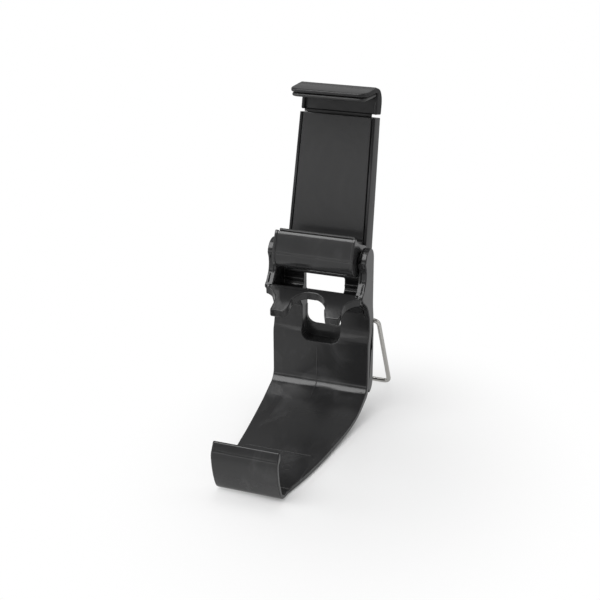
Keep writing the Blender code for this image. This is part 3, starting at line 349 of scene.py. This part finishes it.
def satin_finish(name, colour, rubbed, roughness, spread=0.12, size=2600.0, depth=0.25, flow=4.0,
                 marks=None, metallic=0.0, specular=0.5, dull_side=0.0):
    """A moulded surface with the satin group, and over it the piece's own marks if it has any. The
    faces that look left and right are duller by the last number, as from the mould's slides."""
    material = bpy.data.materials.new(name)
    tree, add, link = wired(material)
    out = add("ShaderNodeOutputMaterial")
    surface = add("ShaderNodeBsdfPrincipled")
    surface.inputs["Specular IOR Level"].default_value = specular
    surface.inputs["Metallic"].default_value = metallic
    satin = add("ShaderNodeGroup")
    satin.node_tree = SATIN
    satin.inputs["Colour"].default_value = (*colour, 1)
    satin.inputs["Rubbed"].default_value = (*rubbed, 1)
    satin.inputs["Roughness"].default_value = roughness
    satin.inputs["Spread"].default_value = spread
    satin.inputs["Grain Size"].default_value = size
    satin.inputs["Grain Depth"].default_value = depth
    satin.inputs["Flow Depth"].default_value = flow
    height = satin.outputs["Height"]
    if marks is not None:
        height = calculated(tree, "ADD", height, marks(tree))
    bump = add("ShaderNodeBump")
    bump.inputs["Distance"].default_value = BUMP_HEIGHT
    bump.inputs["Strength"].default_value = BUMP_STRENGTH
    link(height, bump.inputs["Height"])
    link(satin.outputs["Colour"], surface.inputs["Base Color"])
    place = add("ShaderNodeTexCoord")
    apart = add("ShaderNodeSeparateXYZ")
    link(place.outputs["Normal"], apart.inputs[0])
    sideways = faded(tree, calculated(tree, "ABSOLUTE", apart.outputs["X"]), *SIDE_FACING, 0.0, dull_side)
    link(calculated(tree, "ADD", satin.outputs["Roughness"], sideways), surface.inputs["Roughness"])
    link(bump.outputs["Normal"], surface.inputs["Normal"])
    link(surface.outputs[0], out.inputs["Surface"])
    return material


def bracket_marks(tree):
    """Height of the pin's ring, the insert's rounded edge and the weld line, each a narrow ridge
    where a distance from its middle line is near zero."""
    add, link = tree.nodes.new, tree.links.new
    place = add("ShaderNodeTexCoord")
    apart = add("ShaderNodeSeparateXYZ")
    link(place.outputs["Object"], apart.inputs[0])
    x, y, z = (apart.outputs[label] for label in "XYZ")

    def off(value, middle):
        """How far a value is from a middle, to either side of it."""
        return calculated(tree, "ABSOLUTE", calculated(tree, "SUBTRACT", value, middle))

    def length(u, v):
        """The square root of the sum of both squares."""
        squares = calculated(tree, "MULTIPLY", u, u), calculated(tree, "MULTIPLY", v, v)
        return calculated(tree, "SQRT", calculated(tree, "ADD", *squares))

    low = calculated(tree, "MULTIPLY", faded(tree, z, *FLOOR_TOP, 1.0, 0.0), faded(tree, y, *FLOOR_FRONT))
    wall = calculated(tree, "MULTIPLY", faded(tree, y, *WALL_FRONT), faded(tree, z, *WALL_TOP, 1.0, 0.0))
    radius = length(off(x, PIN_PLACE[0]), off(y, PIN_PLACE[1]))
    pin = faded(tree, off(radius, PIN_RADIUS), *PIN_RIDGE, 0.0)
    past_x = calculated(tree, "SUBTRACT", off(x, INSERT_CENTRE[0]), INSERT_HALF[0] - INSERT_CORNER)
    past_y = calculated(tree, "SUBTRACT", off(y, INSERT_CENTRE[1]), INSERT_HALF[1] - INSERT_CORNER)
    reach = length(calculated(tree, "MAXIMUM", past_x, 0.0), calculated(tree, "MAXIMUM", past_y, 0.0))
    insert = faded(tree, off(reach, INSERT_CORNER), *INSERT_RIDGE, 0.0)
    weld = faded(tree, off(x, WELD_X), *WELD_RIDGE, 0.0)
    upright = calculated(tree, "MULTIPLY", weld, wall)
    floor = calculated(tree, "MULTIPLY", calculated(tree, "ADD", pin, insert), low)
    return calculated(tree, "ADD", floor, upright)


def bends_more(mesh, angle):
    """One for each edge whose two faces turn by more than an angle, else nought."""
    shell = bmesh.new()
    shell.from_mesh(mesh)
    turn = np.array([edge.calc_face_angle(0.0) for edge in shell.edges])
    shell.free()
    return (turn > angle).astype(float)


def between(values, limits):
    """Which of the values lie between two limits."""
    return (values > limits[0]) & (values < limits[1])


def fuller_bracket(points):
    """The bracket's points in millimetres, with the crease's inner fillet scaled about its corner
    and raised, the strap's top led up to it, and both prongs broader on their right."""
    x, y, z = points.T.copy()
    fillet = between(y, CREASE_Y) & between(z, CREASE_Z)
    top = between(y, LEAD_Y) & (z < LEAD_TOP_Z) & (z > STRAP_MIDDLE[0] * y + STRAP_MIDDLE[1])
    shelf = between(z, SHELF_Z) & (y < OUTER_PRONG_ROOT)
    outer = shelf & between(x, OUTER_PRONG_X)
    inner = shelf & between(x, INNER_PRONG_X) & (y < INNER_PRONG_ROOT)
    moved = points.copy()
    moved[fillet, 1:] = CREASE_RAISED + CREASE_SCALE * (points[fillet, 1:] - CREASE_CORNER)
    moved[top, 2] += CREASE_LEAD * (y[top] - LEAD_Y[0]) / (LEAD_FULL_Y - LEAD_Y[0])
    moved[outer, 0] += PRONG_BROADER * np.clip((OUTER_PRONG_ROOT - y[outer]) / OUTER_PRONG_RUN, 0, 1)
    moved[inner, 0] += PRONG_BROADER * np.clip((INNER_PRONG_ROOT - y[inner]) / INNER_PRONG_RUN, 0, 1)
    return moved


def moulded_copy(name, node, edge, finish, body, fine=(), shaped=None):
    """The node's own faces, welded and rid of flat seams, with every edge that bends rounded as in a
    mould. Edges wholly inside one of the boxes called fine keep only that box's share of the
    rounding, and the function called shaped moves the points first, if there is one."""
    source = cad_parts[node].data
    count = len(source.vertices)
    points = np.empty(count * 3)
    source.vertices.foreach_get("co", points)
    points = points.reshape(-1, 3)
    welded, index = np.unique(np.round(points, 7), axis=0, return_inverse=True)
    if shaped is not None:
        welded = shaped(welded / MM) * MM
    corner = np.empty(len(source.loops), np.int32)
    source.loops.foreach_get("vertex_index", corner)
    faces = index.ravel()[corner].reshape(-1, 3)
    faces = faces[(faces != np.roll(faces, 1, axis=1)).all(axis=1)]
    mesh = bpy.data.meshes.new(name)
    mesh.from_pydata(welded.tolist(), [], faces.tolist())
    shell = bmesh.new()
    shell.from_mesh(mesh)
    bmesh.ops.dissolve_limit(shell, angle_limit=FLAT_SEAM, verts=shell.verts, edges=shell.edges)
    shell.to_mesh(mesh)
    shell.free()
    count = len(mesh.edges)
    ends = np.empty(count * 2, np.int32)
    mesh.edges.foreach_get("vertices", ends)
    places = np.empty(len(mesh.vertices) * 3)
    mesh.vertices.foreach_get("co", places)
    places = places.reshape(-1, 3)[ends].reshape(-1, 2, 3)
    share = bends_more(mesh, ROUNDED_FROM)
    for low, high, part in fine:
        inside = (places > np.array(low) * MM) & (places < np.array(high) * MM)
        share[inside.all(axis=(1, 2))] *= part
    layer = mesh.attributes.new("bevel_weight_edge", "FLOAT", "EDGE")
    layer.data.foreach_set("value", share)
    mesh.materials.append(finish)
    piece = bpy.data.objects.new(name, mesh)
    bpy.context.scene.collection.objects.link(piece)
    bevel = piece.modifiers.new("edge", "BEVEL")
    bevel.width = edge
    bevel.segments = 3
    bevel.limit_method = "WEIGHT"
    bevel.miter_outer = "MITER_ARC"
    bevel.use_clamp_overlap = False
    bevel.harden_normals = True
    mesh.shade_smooth()
    mesh.set_sharp_from_angle(angle=SHARP_FROM)
    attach(piece, body)
    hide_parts(node)


BLACK = satin_finish("black_moulding", (0.022, 0.022, 0.0225), (0.044, 0.044, 0.045), 0.18,
                     marks=bracket_marks, dull_side=0.12)
moulded_copy("bracket", "controller_bracket", BRACKET_EDGE, BLACK, "bracket",
             fine=(PORT_STEPS, WINDOW_RIM), shaped=fuller_bracket)

# The wire stand
# One length of spring steel wire, nickel plated, bent into a bail: its two ends are turned in to
# hinge in the bracket's lugs, and its bar stands on the table.
WIRE_RADIUS = 0.95
WIRE_BEND = 2.4
BEND_REACH = 1.15
DULLED = 0.72
STAND_HINGE = (37.225, 38.5)
STAND_FOOT = (56.525, 0.95)
WIRE_END_X = 16.0
WIRE_LEG_X = 22.75


def ring_faces(rows, columns, closed=False):
    """Quads between neighbouring rings of a grid, and from the last ring to the first if closed."""
    row, column = np.meshgrid(np.arange(rows if closed else rows - 1), np.arange(columns), indexing="ij")
    here = row * columns + column
    beside = row * columns + (column + 1) % columns
    after = (row + 1) % rows
    return np.stack([here, beside, after * columns + (column + 1) % columns, after * columns + column],
                    axis=-1).reshape(-1, 4)


def made_piece(name, skins, finish, body, nodes, smooth_deg=50):
    """One object from closed skins of rings, in millimetres. Neighbouring rings are joined by quads,
    the end rings are filled in unless the skin closes on itself, and its faces are turned outwards."""
    points = []
    faces = []
    count = 0
    for rings, closed in skins:
        rows, columns = rings.shape[:2]
        points.append(rings.reshape(-1, 3) * MM)
        faces += (ring_faces(rows, columns, closed) + count).tolist()
        if not closed:
            faces.append(list(range(count, count + columns)))
            faces.append(list(range(count + (rows - 1) * columns, count + rows * columns)))
        count += rows * columns
    mesh = bpy.data.meshes.new(name)
    mesh.from_pydata(np.concatenate(points).tolist(), [], faces)
    shell = bmesh.new()
    shell.from_mesh(mesh)
    bmesh.ops.remove_doubles(shell, verts=shell.verts, dist=1e-7)
    bmesh.ops.dissolve_degenerate(shell, edges=shell.edges, dist=1e-7)
    bmesh.ops.recalc_face_normals(shell, faces=shell.faces)
    shell.to_mesh(mesh)
    shell.free()
    mesh.materials.append(finish)
    mesh.shade_smooth()
    mesh.set_sharp_from_angle(angle=math.radians(smooth_deg))
    piece = bpy.data.objects.new(name, mesh)
    bpy.context.scene.collection.objects.link(piece)
    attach(piece, body)
    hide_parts(*nodes)


def eased_line(corners, reach, steps):
    """A line of points whose inner corners are cut by parabolas that touch both sides:
    corner + back side * reach * (1 - t)^2 + front side * reach * t^2."""
    corners = np.asarray(corners, float)
    back = corners[:-2] - corners[1:-1]
    ahead = corners[2:] - corners[1:-1]
    back /= np.linalg.norm(back, axis=1, keepdims=True)
    ahead /= np.linalg.norm(ahead, axis=1, keepdims=True)
    t = np.linspace(0, 1, steps + 1)[None, :, None]
    bends = corners[1:-1, None] + reach * (back[:, None] * (1 - t) ** 2 + ahead[:, None] * t ** 2)
    return np.concatenate([corners[:1], bends.reshape(-1, corners.shape[1]), corners[-1:]])


def wire(path, radius, columns=20):
    """A round tube along a line that lies in one plane: centre + radius * (cos a * normal of the
    plane + sin a * side), with both ends domed."""
    along = np.gradient(path, axis=0)
    along /= np.linalg.norm(along, axis=1, keepdims=True)
    normal = np.cross(path[1] - path[0], path[len(path) // 2] - path[0])
    normal /= np.linalg.norm(normal)
    side = np.cross(along, normal)
    a = np.linspace(0, 2 * np.pi, columns, endpoint=False)[None, :, None]
    turn = np.linspace(0, np.pi / 2, 5)[:-1]
    girth = np.concatenate([np.sin(turn), np.ones(len(path)), np.sin(turn)[::-1]])
    push = radius * (1 - np.cos(turn))
    start = path[0] + (push - radius)[:, None] * along[0]
    end = path[-1] + (radius - push[::-1])[:, None] * along[-1]
    middle = np.concatenate([start, path, end])
    side = np.concatenate([np.repeat(side[:1], 4, axis=0), side, np.repeat(side[-1:], 4, axis=0)])
    spoke = np.cos(a) * normal + np.sin(a) * side[:, None]
    return middle[:, None] + (radius * girth)[:, None, None] * spoke


def nickel_finish(name, colour, roughness, size):
    """Nickel plate with fine draw marks and dull spots."""
    return satin_finish(name, colour, tuple(DULLED * part for part in colour), roughness, spread=0.25,
                        size=size, depth=0.8, metallic=1.0)


NICKEL = nickel_finish("nickel_wire", (0.56, 0.55, 0.525), 0.30, 1500.0)
inner_end = WIRE_END_X - WIRE_RADIUS
stand_corners = [(-inner_end, *STAND_HINGE), (-WIRE_LEG_X, *STAND_HINGE), (-WIRE_LEG_X, *STAND_FOOT),
                 (WIRE_LEG_X, *STAND_FOOT), (WIRE_LEG_X, *STAND_HINGE), (inner_end, *STAND_HINGE)]
stand_line = eased_line(stand_corners, WIRE_BEND * BEND_REACH, 10)
made_piece("stand_wire", [(wire(stand_line, WIRE_RADIUS), False)], NICKEL, "stand",
           ["wire_stand"])

# The lower jaw
# A hollow black roll with a lip, closed by two end caps that stand a little proud as flanges. Its
# trunnions turn stiffly in the ears, each with a thin rubber washer.
HINGE_POINT = (27.825, 68.5)
LEAN = math.radians(13.75)
JAW_HALF = 17.35
FLANGE_WIDTH = 1.25
FLANGE_PROUD = 0.28
FLANGE_EDGE = 0.22
# The roll in side view, each corner's place behind and above the hinge, and then its rounding
JAW_CORNERS = [(-8.35, 9.4), (-9.2, 9.55), (-9.62, 8.7), (-10.25, 5.0), (-10.80, 1.05), (-10.72, 0.55),
               (-10.86, -0.1), (-10.4, -2.5), (-8.3, -4.85), (-5.3, -6.1), (-1.8, -5.5), (1.4, -4.0),
               (3.6, -1.6), (4.4, 1.2), (6.45, 1.2), (6.45, 5.4), (-3.4, 7.0), (-7.2, 8.2)]
JAW_ROUND = [0.35, 0.35, 0.5, 3.0, 0.18, 0.10, 0.27, 1.2, 1.4, 1.6, 1.6, 1.4, 1.2, 0.4, 0.3, 0.3, 0.8, 0.5]
TRUNNION_RADIUS = 2.0
TRUNNION_END = 20.3
TRUNNION_SUNK = 0.5
TRUNNION_EDGE = 0.3
WASHER_X = 17.725
WASHER_HALF = 0.2
WASHER_RADIUS = 4.0
WASHER_PLAY = 0.1
WASHER_EDGE = 0.12


def leaned(points):
    """From the clamp's own axes (across, back, up along its plate) to the holder's: turned back by
    the lean about the hinge."""
    x, t, s = np.moveaxis(np.asarray(points, float), -1, 0)
    return np.stack([x, HINGE_POINT[0] + t * math.cos(LEAN) + s * math.sin(LEAN),
                     HINGE_POINT[1] - t * math.sin(LEAN) + s * math.cos(LEAN)], axis=-1)


def filleted(corners, radius, steps=4):
    """A closed outline whose corners are cut by parabolas that touch both sides."""
    corners = np.asarray(corners, float)
    back = np.roll(corners, 1, axis=0) - corners
    ahead = np.roll(corners, -1, axis=0) - corners
    lengths = np.minimum(np.linalg.norm(back, axis=1), np.linalg.norm(ahead, axis=1))
    back /= np.linalg.norm(back, axis=1, keepdims=True)
    ahead /= np.linalg.norm(ahead, axis=1, keepdims=True)
    reach = np.minimum(np.broadcast_to(radius, len(corners)), 0.48 * lengths)[:, None, None]
    t = np.linspace(0, 1, steps + 1)[None, :, None]
    bends = corners[:, None] + reach * (back[:, None] * (1 - t) ** 2 + ahead[:, None] * t ** 2)
    return bends.reshape(-1, 2)


def drawn_in(outline, depth):
    """The closed outline moved inwards by depth: each point along the sum of its two edges' inward
    normals, divided by half its squared length."""
    ahead = np.roll(outline, -1, axis=0) - outline
    area = np.sum(outline[:, 0] * np.roll(outline[:, 1], -1) - np.roll(outline[:, 0], -1) * outline[:, 1])
    ahead /= np.linalg.norm(ahead, axis=1, keepdims=True)
    behind = np.roll(ahead, 1, axis=0)
    both = ahead + behind
    inward = np.column_stack([-both[:, 1], both[:, 0]]) * math.copysign(1.0, area)
    return outline + depth * 2 * inward / np.sum(both ** 2, axis=1, keepdims=True)


def eased_ends(low, high, radius, steps=4):
    """Stations from low to high and how far the outline draws in at each: a quarter circle at
    either end, and one more ring inside it that keeps the flat end flat."""
    turn = np.linspace(0, np.pi / 2, steps + 1)
    go = np.concatenate([[0.0], radius * (1 - np.cos(turn))])
    draw = np.concatenate([[1.4 * radius], radius * (1 - np.sin(turn))])
    return np.concatenate([low + go, high - go[::-1]]), np.concatenate([draw, draw[::-1]])


def along_x(outline, stations, insets):
    """The outline in the clamp's side view carried across it, drawn in at each station."""
    rings = [np.column_stack([np.full(len(outline), x), drawn_in(outline, depth)])
             for x, depth in zip(stations, insets)]
    return leaned(np.array(rings))


def turned(profile, columns):
    """A profile of (along x, radius) turned about the hinge's axis."""
    a = np.linspace(0, 2 * np.pi, columns, endpoint=False)
    x = np.repeat(profile[:, :1], columns, axis=1)
    return leaned(np.stack([x, profile[:, 1:] * np.cos(a), profile[:, 1:] * np.sin(a)], axis=-1))


JAW_BLACK = satin_finish("jaw_moulding", (0.023, 0.023, 0.0235), (0.032, 0.032, 0.033), 0.21, spread=0.10,
                         specular=0.60)
jaw_outline = filleted(JAW_CORNERS, JAW_ROUND)
flange_in = JAW_HALF - FLANGE_WIDTH
rim_x, rim_in = eased_ends(flange_in, JAW_HALF, FLANGE_EDGE)
body_x = np.array([-flange_in + 0.02, flange_in - 0.02])
jaw_x = np.concatenate([-rim_x[::-1], body_x, rim_x])
jaw_in = np.concatenate([rim_in[::-1] - FLANGE_PROUD, [0.0, 0.0], rim_in - FLANGE_PROUD])
jaw_skins = [(along_x(jaw_outline, jaw_x, jaw_in), False)]
for side in (-1, 1):
    pin = np.array([(JAW_HALF - TRUNNION_SUNK, TRUNNION_RADIUS),
                    (TRUNNION_END - TRUNNION_EDGE, TRUNNION_RADIUS),
                    (TRUNNION_END, TRUNNION_RADIUS - TRUNNION_EDGE)]) * (side, 1)
    jaw_skins.append((turned(pin, 32), False))
made_piece("lower_jaw_roll", jaw_skins, JAW_BLACK, "clamp",
           ["lower_jaw", "end_cap_left", "end_cap_right"], smooth_deg=35)
WASHER_BLACK = satin_finish("washer_rubber", (0.014, 0.014, 0.014), (0.022, 0.022, 0.022), 0.6)
washer_bore = TRUNNION_RADIUS + WASHER_PLAY
washer_section = filleted([(-WASHER_HALF, washer_bore), (WASHER_HALF, washer_bore),
                           (WASHER_HALF, WASHER_RADIUS), (-WASHER_HALF, WASHER_RADIUS)], WASHER_EDGE, 3)
for label, side in (("left", -1), ("right", 1)):
    ring = turned(washer_section + (side * WASHER_X, 0), 48)
    made_piece("washer_" + label, [(ring, True)], WASHER_BLACK, "clamp",
               ["friction_washer_" + label])

# The lower jaw's pad
# A strip of black rubber glued on the ledge and up the inside of the lip, a millimetre proud of it.
# The pad in side view, in the same way
PAD_CORNERS = [(6.05, 5.72), (6.05, 6.9), (-3.0, 8.2), (-6.6, 10.1), (-7.7, 10.6), (-8.3, 9.75),
               (-7.1, 8.52), (-3.3, 7.32)]
PAD_ROUND = [0.2, 0.4, 2.0, 1.0, 0.5, 0.3, 0.4, 0.6]
PAD_HALF = 15.9
PAD_EDGE = 0.09

RUBBER = satin_finish("soft_rubber", (0.020, 0.020, 0.020), (0.034, 0.034, 0.034), 0.42, spread=0.2,
                      size=3400.0, depth=1.0)
pad_x, pad_in = eased_ends(-PAD_HALF, PAD_HALF, PAD_EDGE)
made_piece("lower_pad", [(along_x(filleted(PAD_CORNERS, PAD_ROUND), pad_x, pad_in), False)], RUBBER,
           "clamp", ["lower_jaw_pad"])

# The clamp's front plate
# The flat satin face that the phone's back rests on: a thin moulding set between the rails of the
# rear cover, and stepped back at its foot for the jaw.
PLATE_FRONT = 6.25
PLATE_BACK = 8.25
PLATE_FOOT = 1.3
PLATE_STEP_TOP = 7.5
PLATE_STEP = 0.5
PLATE_EDGE = 0.3
PLATE_CORNER = 0.62
BODY_FOOT = 0.9
BODY_TOP = 58.1
BODY_HALF_FOOT = 17.35
BODY_HALF_TOP = 16.3
RAIL = 1.5


def tapered(foot, top, height):
    """A measure of the clamp's body at one height, in a straight line from its foot to its top."""
    return foot + (top - foot) * (height - BODY_FOOT) / (BODY_TOP - BODY_FOOT)


def plate_ring(depth, foot, inset):
    """The plate's outline at one depth."""
    low = tapered(BODY_HALF_FOOT, BODY_HALF_TOP, foot) - RAIL
    high = BODY_HALF_TOP - RAIL
    outline = filleted([(-low, foot), (low, foot), (high, BODY_TOP), (-high, BODY_TOP)], PLATE_CORNER)
    outline = drawn_in(outline, inset)
    return np.column_stack([outline[:, 0], np.full(len(outline), depth), outline[:, 1]])


PLATE_BLACK = satin_finish("plate_moulding", (0.016, 0.016, 0.0165), (0.019, 0.019, 0.0195), 0.25,
                           spread=0.05, size=3200.0, depth=0.35, specular=0.42)
plate_depth, plate_in = eased_ends(PLATE_FRONT, PLATE_BACK, PLATE_EDGE)
half_way = len(plate_depth) // 2
step_back = PLATE_FRONT + PLATE_STEP
plate_levels = [(depth, PLATE_STEP_TOP, inset)
                for depth, inset in zip(plate_depth[:half_way], plate_in[:half_way])]
plate_levels += [(step_back, PLATE_STEP_TOP, 0.0), (step_back, PLATE_FOOT, 0.0)]
plate_levels += [(depth, PLATE_FOOT, inset)
                 for depth, inset in zip(plate_depth[half_way:], plate_in[half_way:])]
plate_skin = leaned(np.array([plate_ring(*level) for level in plate_levels]))
made_piece("front_plate", [(plate_skin, False)], PLATE_BLACK, "clamp",
           ["clamp_front_plate"], smooth_deg=35)

# The clamp's rear cover
# A tray-shaped moulding that closes the body from behind. Its side walls come round to the front
# as two narrow rails, and it is open at the top for the tongue.
COVER_FRONT = 6.45
COVER_BACK_FOOT = 16.2
COVER_BACK_TOP = 14.2
COVER_WALL = 1.2
COVER_ROUND = [0.35, 0.9, 0.9, 0.35, 0.3, 0.5, 0.5, 0.3]
COVER_EDGE = 0.13


def cover_ring(height, inset):
    """The cover's U-shaped section at one height."""
    half = tapered(BODY_HALF_FOOT, BODY_HALF_TOP, height)
    back = tapered(COVER_BACK_FOOT, COVER_BACK_TOP, height)
    inner = half - COVER_WALL
    corners = [(-half, COVER_FRONT), (-half, back), (half, back), (half, COVER_FRONT), (inner, COVER_FRONT),
               (inner, back - COVER_WALL), (-inner, back - COVER_WALL), (-inner, COVER_FRONT)]
    outline = drawn_in(filleted(corners, COVER_ROUND), inset)
    return np.column_stack([outline, np.full(len(outline), height)])


COVER_BLACK = satin_finish("cover_moulding", (0.018, 0.018, 0.0185), (0.026, 0.026, 0.027), 0.16,
                           specular=0.27, dull_side=0.25)
cover_s, cover_in = eased_ends(BODY_FOOT, BODY_TOP, COVER_EDGE)
cover_skin = leaned(np.array([cover_ring(height, inset) for height, inset in zip(cover_s, cover_in)]))
made_piece("rear_cover", [(cover_skin, False)], COVER_BLACK, "clamp",
           ["clamp_rear_cover"], smooth_deg=35)

# The screws
# Small pan-head screws of bright steel with a cross recess: four hold the cover, two hold the jaw
# and two hold the tongue in the upper jaw's stem.
HEAD_RADIUS = 1.9
HEAD_HEIGHT = 1.1
SHANK_RADIUS = 1.0
RECESS_ARM = 1.05
RECESS_HALF = 0.26
RECESS_DEPTH = 0.62
HEAD_EDGE = 0.35
TIP_TAPER = 0.25
FIT = 0.3
SCREW_LENGTH = 4.2
COVER_SCREWS = (("upper_left", -6.0, 50.0), ("upper_right", 6.0, 50.0), ("lower_left", -12.85, 11.5),
                ("lower_right", 12.85, 11.5))
JAW_SCREW_X = 10.0
JAW_SCREW_HEIGHT = 3.35
TONGUE_SCREW_X = 7.0
TONGUE_SCREW_HEIGHT = 63.8
TONGUE_SCREW_LENGTH = 2.8
TONGUE_BACK = 12.7


def screw_skin(x, height, seat, length):
    """Rings round the screw's axis, from the middle of its head out over the rim and down to its tip.
    The head is a flat dome, less the recess: two crossed slots with sloping walls."""
    columns = 72
    a = np.linspace(0, 2 * np.pi, columns, endpoint=False)
    top = np.linspace(0.04, HEAD_RADIUS - HEAD_EDGE, 16)
    turn = np.linspace(0, np.pi / 2, 5)[1:]
    r = np.concatenate([top, HEAD_RADIUS - HEAD_EDGE + HEAD_EDGE * np.sin(turn),
                        [HEAD_RADIUS, HEAD_RADIUS, SHANK_RADIUS, SHANK_RADIUS, SHANK_RADIUS - TIP_TAPER]])
    dome = HEAD_HEIGHT - 0.12 * (top / HEAD_RADIUS) ** 2
    rim = HEAD_HEIGHT - 0.09 - HEAD_EDGE * (1 - np.cos(turn))
    up = np.concatenate([dome, rim, [0.12, 0.0, 0.0, 0.3 - length, -length]])
    across = r[:, None] * np.cos(a)
    along = r[:, None] * np.sin(a)

    def slot(u, v):
        """How deep one slot is: full inside its half width and arm, nothing 0.1 outside them."""
        wide = np.clip((RECESS_HALF + 0.08 - np.abs(u)) / 0.14, 0, 1)
        long = np.clip((RECESS_ARM + 0.12 - np.abs(v)) / 0.3, 0, 1)
        return wide * long

    cross = np.maximum(slot(across, along), slot(along, across))
    cross[len(top):] = 0
    depth = seat + up[:, None] - RECESS_DEPTH * cross
    return leaned(np.stack([x + across, depth, height + along], axis=-1))


SCREW_STEEL = nickel_finish("screw_steel", (0.60, 0.59, 0.57), 0.26, 2200.0)
for label, x, height in COVER_SCREWS:
    seat = tapered(COVER_BACK_FOOT, COVER_BACK_TOP, height) + FIT
    made_piece("screw_" + label, [(screw_skin(x, height, seat, SCREW_LENGTH), False)], SCREW_STEEL, "clamp",
               ["cover_screw_" + label], smooth_deg=40)
for label, side in (("left", -1), ("right", 1)):
    skin = screw_skin(side * JAW_SCREW_X, JAW_SCREW_HEIGHT, PLATE_BACK + FIT, SCREW_LENGTH)
    made_piece("jaw_screw_" + label, [(skin, False)], SCREW_STEEL, "clamp",
               ["jaw_mount_screw_" + label], smooth_deg=40)
for label, side in (("left", -1), ("right", 1)):
    skin = screw_skin(side * TONGUE_SCREW_X, TONGUE_SCREW_HEIGHT, TONGUE_BACK + FIT, TONGUE_SCREW_LENGTH)
    made_piece("tongue_screw_" + label, [(skin, False)], SCREW_STEEL, "upper_jaw_slide",
               ["stem_screw_" + label], smooth_deg=40)

# The upper jaw
# A black moulding bent from a thin sloping slab down into a tray-shaped stem. A flat tongue is
# screwed into the back of the stem and slides in the body, with a shoulder at its left that comes
# down on the body's top when the jaw shuts.
TOP_EDGE = 0.55 * MM
TONGUE_EDGE = 0.2 * MM
SHOULDER_SECTION = [(10.9, 58.25), (12.6, 58.25), (12.6, 59.9), (10.9, 59.9)]
SHOULDER_SPAN = (-16.0, -14.4)
SHOULDER_ROUND = 0.2
SHOULDER_EDGE = 0.12

TOP_BLACK = satin_finish("top_moulding", (0.020, 0.020, 0.0205), (0.030, 0.030, 0.031), 0.19, spread=0.10,
                         specular=0.30, dull_side=0.55)
moulded_copy("upper_jaw_top", "upper_jaw", TOP_EDGE, TOP_BLACK, "upper_jaw_slide")
moulded_copy("tongue", "slide_tongue", TONGUE_EDGE, TOP_BLACK, "upper_jaw_slide")
shoulder = along_x(filleted(SHOULDER_SECTION, SHOULDER_ROUND), *eased_ends(*SHOULDER_SPAN, SHOULDER_EDGE))
made_piece("tongue_shoulder", [(shoulder, False)], TOP_BLACK, "upper_jaw_slide",
           ["slide_tongue"], smooth_deg=35)

# The upper jaw's pad
# A rubber tray glued under the slab, with a lip turned down along its front and sides, so that a
# narrow dark groove shows between the two.
UPPER_PAD_HALF = 15.8
UPPER_PAD_FRONT = -8.6
UPPER_PAD_BACK = 6.85
UPPER_PAD_CORNER = 3.2
UPPER_PAD_SHEET = 1.1
UPPER_PAD_LIP = 1.5
UPPER_PAD_GROOVE = 0.3
LIP_WIDTH = 1.3
LIP_FADE = 1.0
SLAB_TOP = 70.0
SLAB_TOP_AT = 4.0
SLAB_SLOPE = math.tan(math.radians(11.3))
SLAB_FRONT = -9.2
SLAB_STEM = 7.55
SLAB_EDGE = 1.5
SLAB_ROOT = 2.4


def slab_underside(t):
    """Height of the slab's underside: its sloping top less a wall that thickens towards the stem."""
    share = (t - SLAB_FRONT) / (SLAB_STEM - SLAB_FRONT)
    return SLAB_TOP + SLAB_SLOPE * (t - SLAB_TOP_AT) - SLAB_EDGE - (SLAB_ROOT - SLAB_EDGE) * share


def pad_sheets():
    """Top and bottom of the pad over a plan with round front corners, meeting round its rim. Each
    point's distance from the rim gives the roundness there and whether it is lip or sheet."""
    near = np.array([0.0, 0.04, 0.12, 0.25, 0.4, 0.55, 0.75, 1.0, 1.3, 1.6, 1.9, 2.2, 2.6, 3.2])
    depth = UPPER_PAD_BACK - UPPER_PAD_FRONT
    back = depth - np.array([0.5, 0.2, 0.05, 0.0])
    d = np.concatenate([near, np.linspace(near[-1], depth - 1.0, 12)[1:], back])
    share = near / UPPER_PAD_HALF
    u = np.concatenate([share - 1, np.linspace(share[-1] - 1, 1 - share[-1], 24)[1:-1], (1 - share)[::-1]])
    inner = UPPER_PAD_HALF - UPPER_PAD_CORNER
    pulled = np.maximum(UPPER_PAD_CORNER - d, 0)
    half = inner + np.sqrt(UPPER_PAD_CORNER ** 2 - pulled ** 2)
    x = half[:, None] * u
    ahead = np.repeat(d[:, None], len(u), axis=1)
    past = np.abs(x) - inner
    corner = UPPER_PAD_CORNER - np.hypot(np.maximum(past, 0), UPPER_PAD_CORNER - ahead)
    straight = np.minimum(ahead, UPPER_PAD_HALF - np.abs(x))
    rim = np.where((past > 0) & (ahead < UPPER_PAD_CORNER), corner, straight)
    rim = np.clip(np.minimum(rim, depth - ahead), 0, None)
    blend = np.clip((rim - LIP_WIDTH) / LIP_FADE, 0, 1)
    blend = blend * blend * (3 - 2 * blend)
    thick = UPPER_PAD_LIP + (UPPER_PAD_SHEET - UPPER_PAD_LIP) * blend
    round_by = UPPER_PAD_LIP / 2
    lift = round_by - np.sqrt(round_by ** 2 - (round_by - np.minimum(rim, round_by)) ** 2)
    t = UPPER_PAD_FRONT + ahead
    roof = slab_underside(t) - UPPER_PAD_GROOVE
    top = np.stack([x, t, roof - lift], axis=-1)
    bottom = np.stack([x, t, roof - thick + lift], axis=-1)
    return np.concatenate([top, bottom[:, ::-1]], axis=1)


made_piece("upper_pad", [(leaned(pad_sheets()), False)], RUBBER, "upper_jaw_slide",
           ["upper_jaw_pad"])
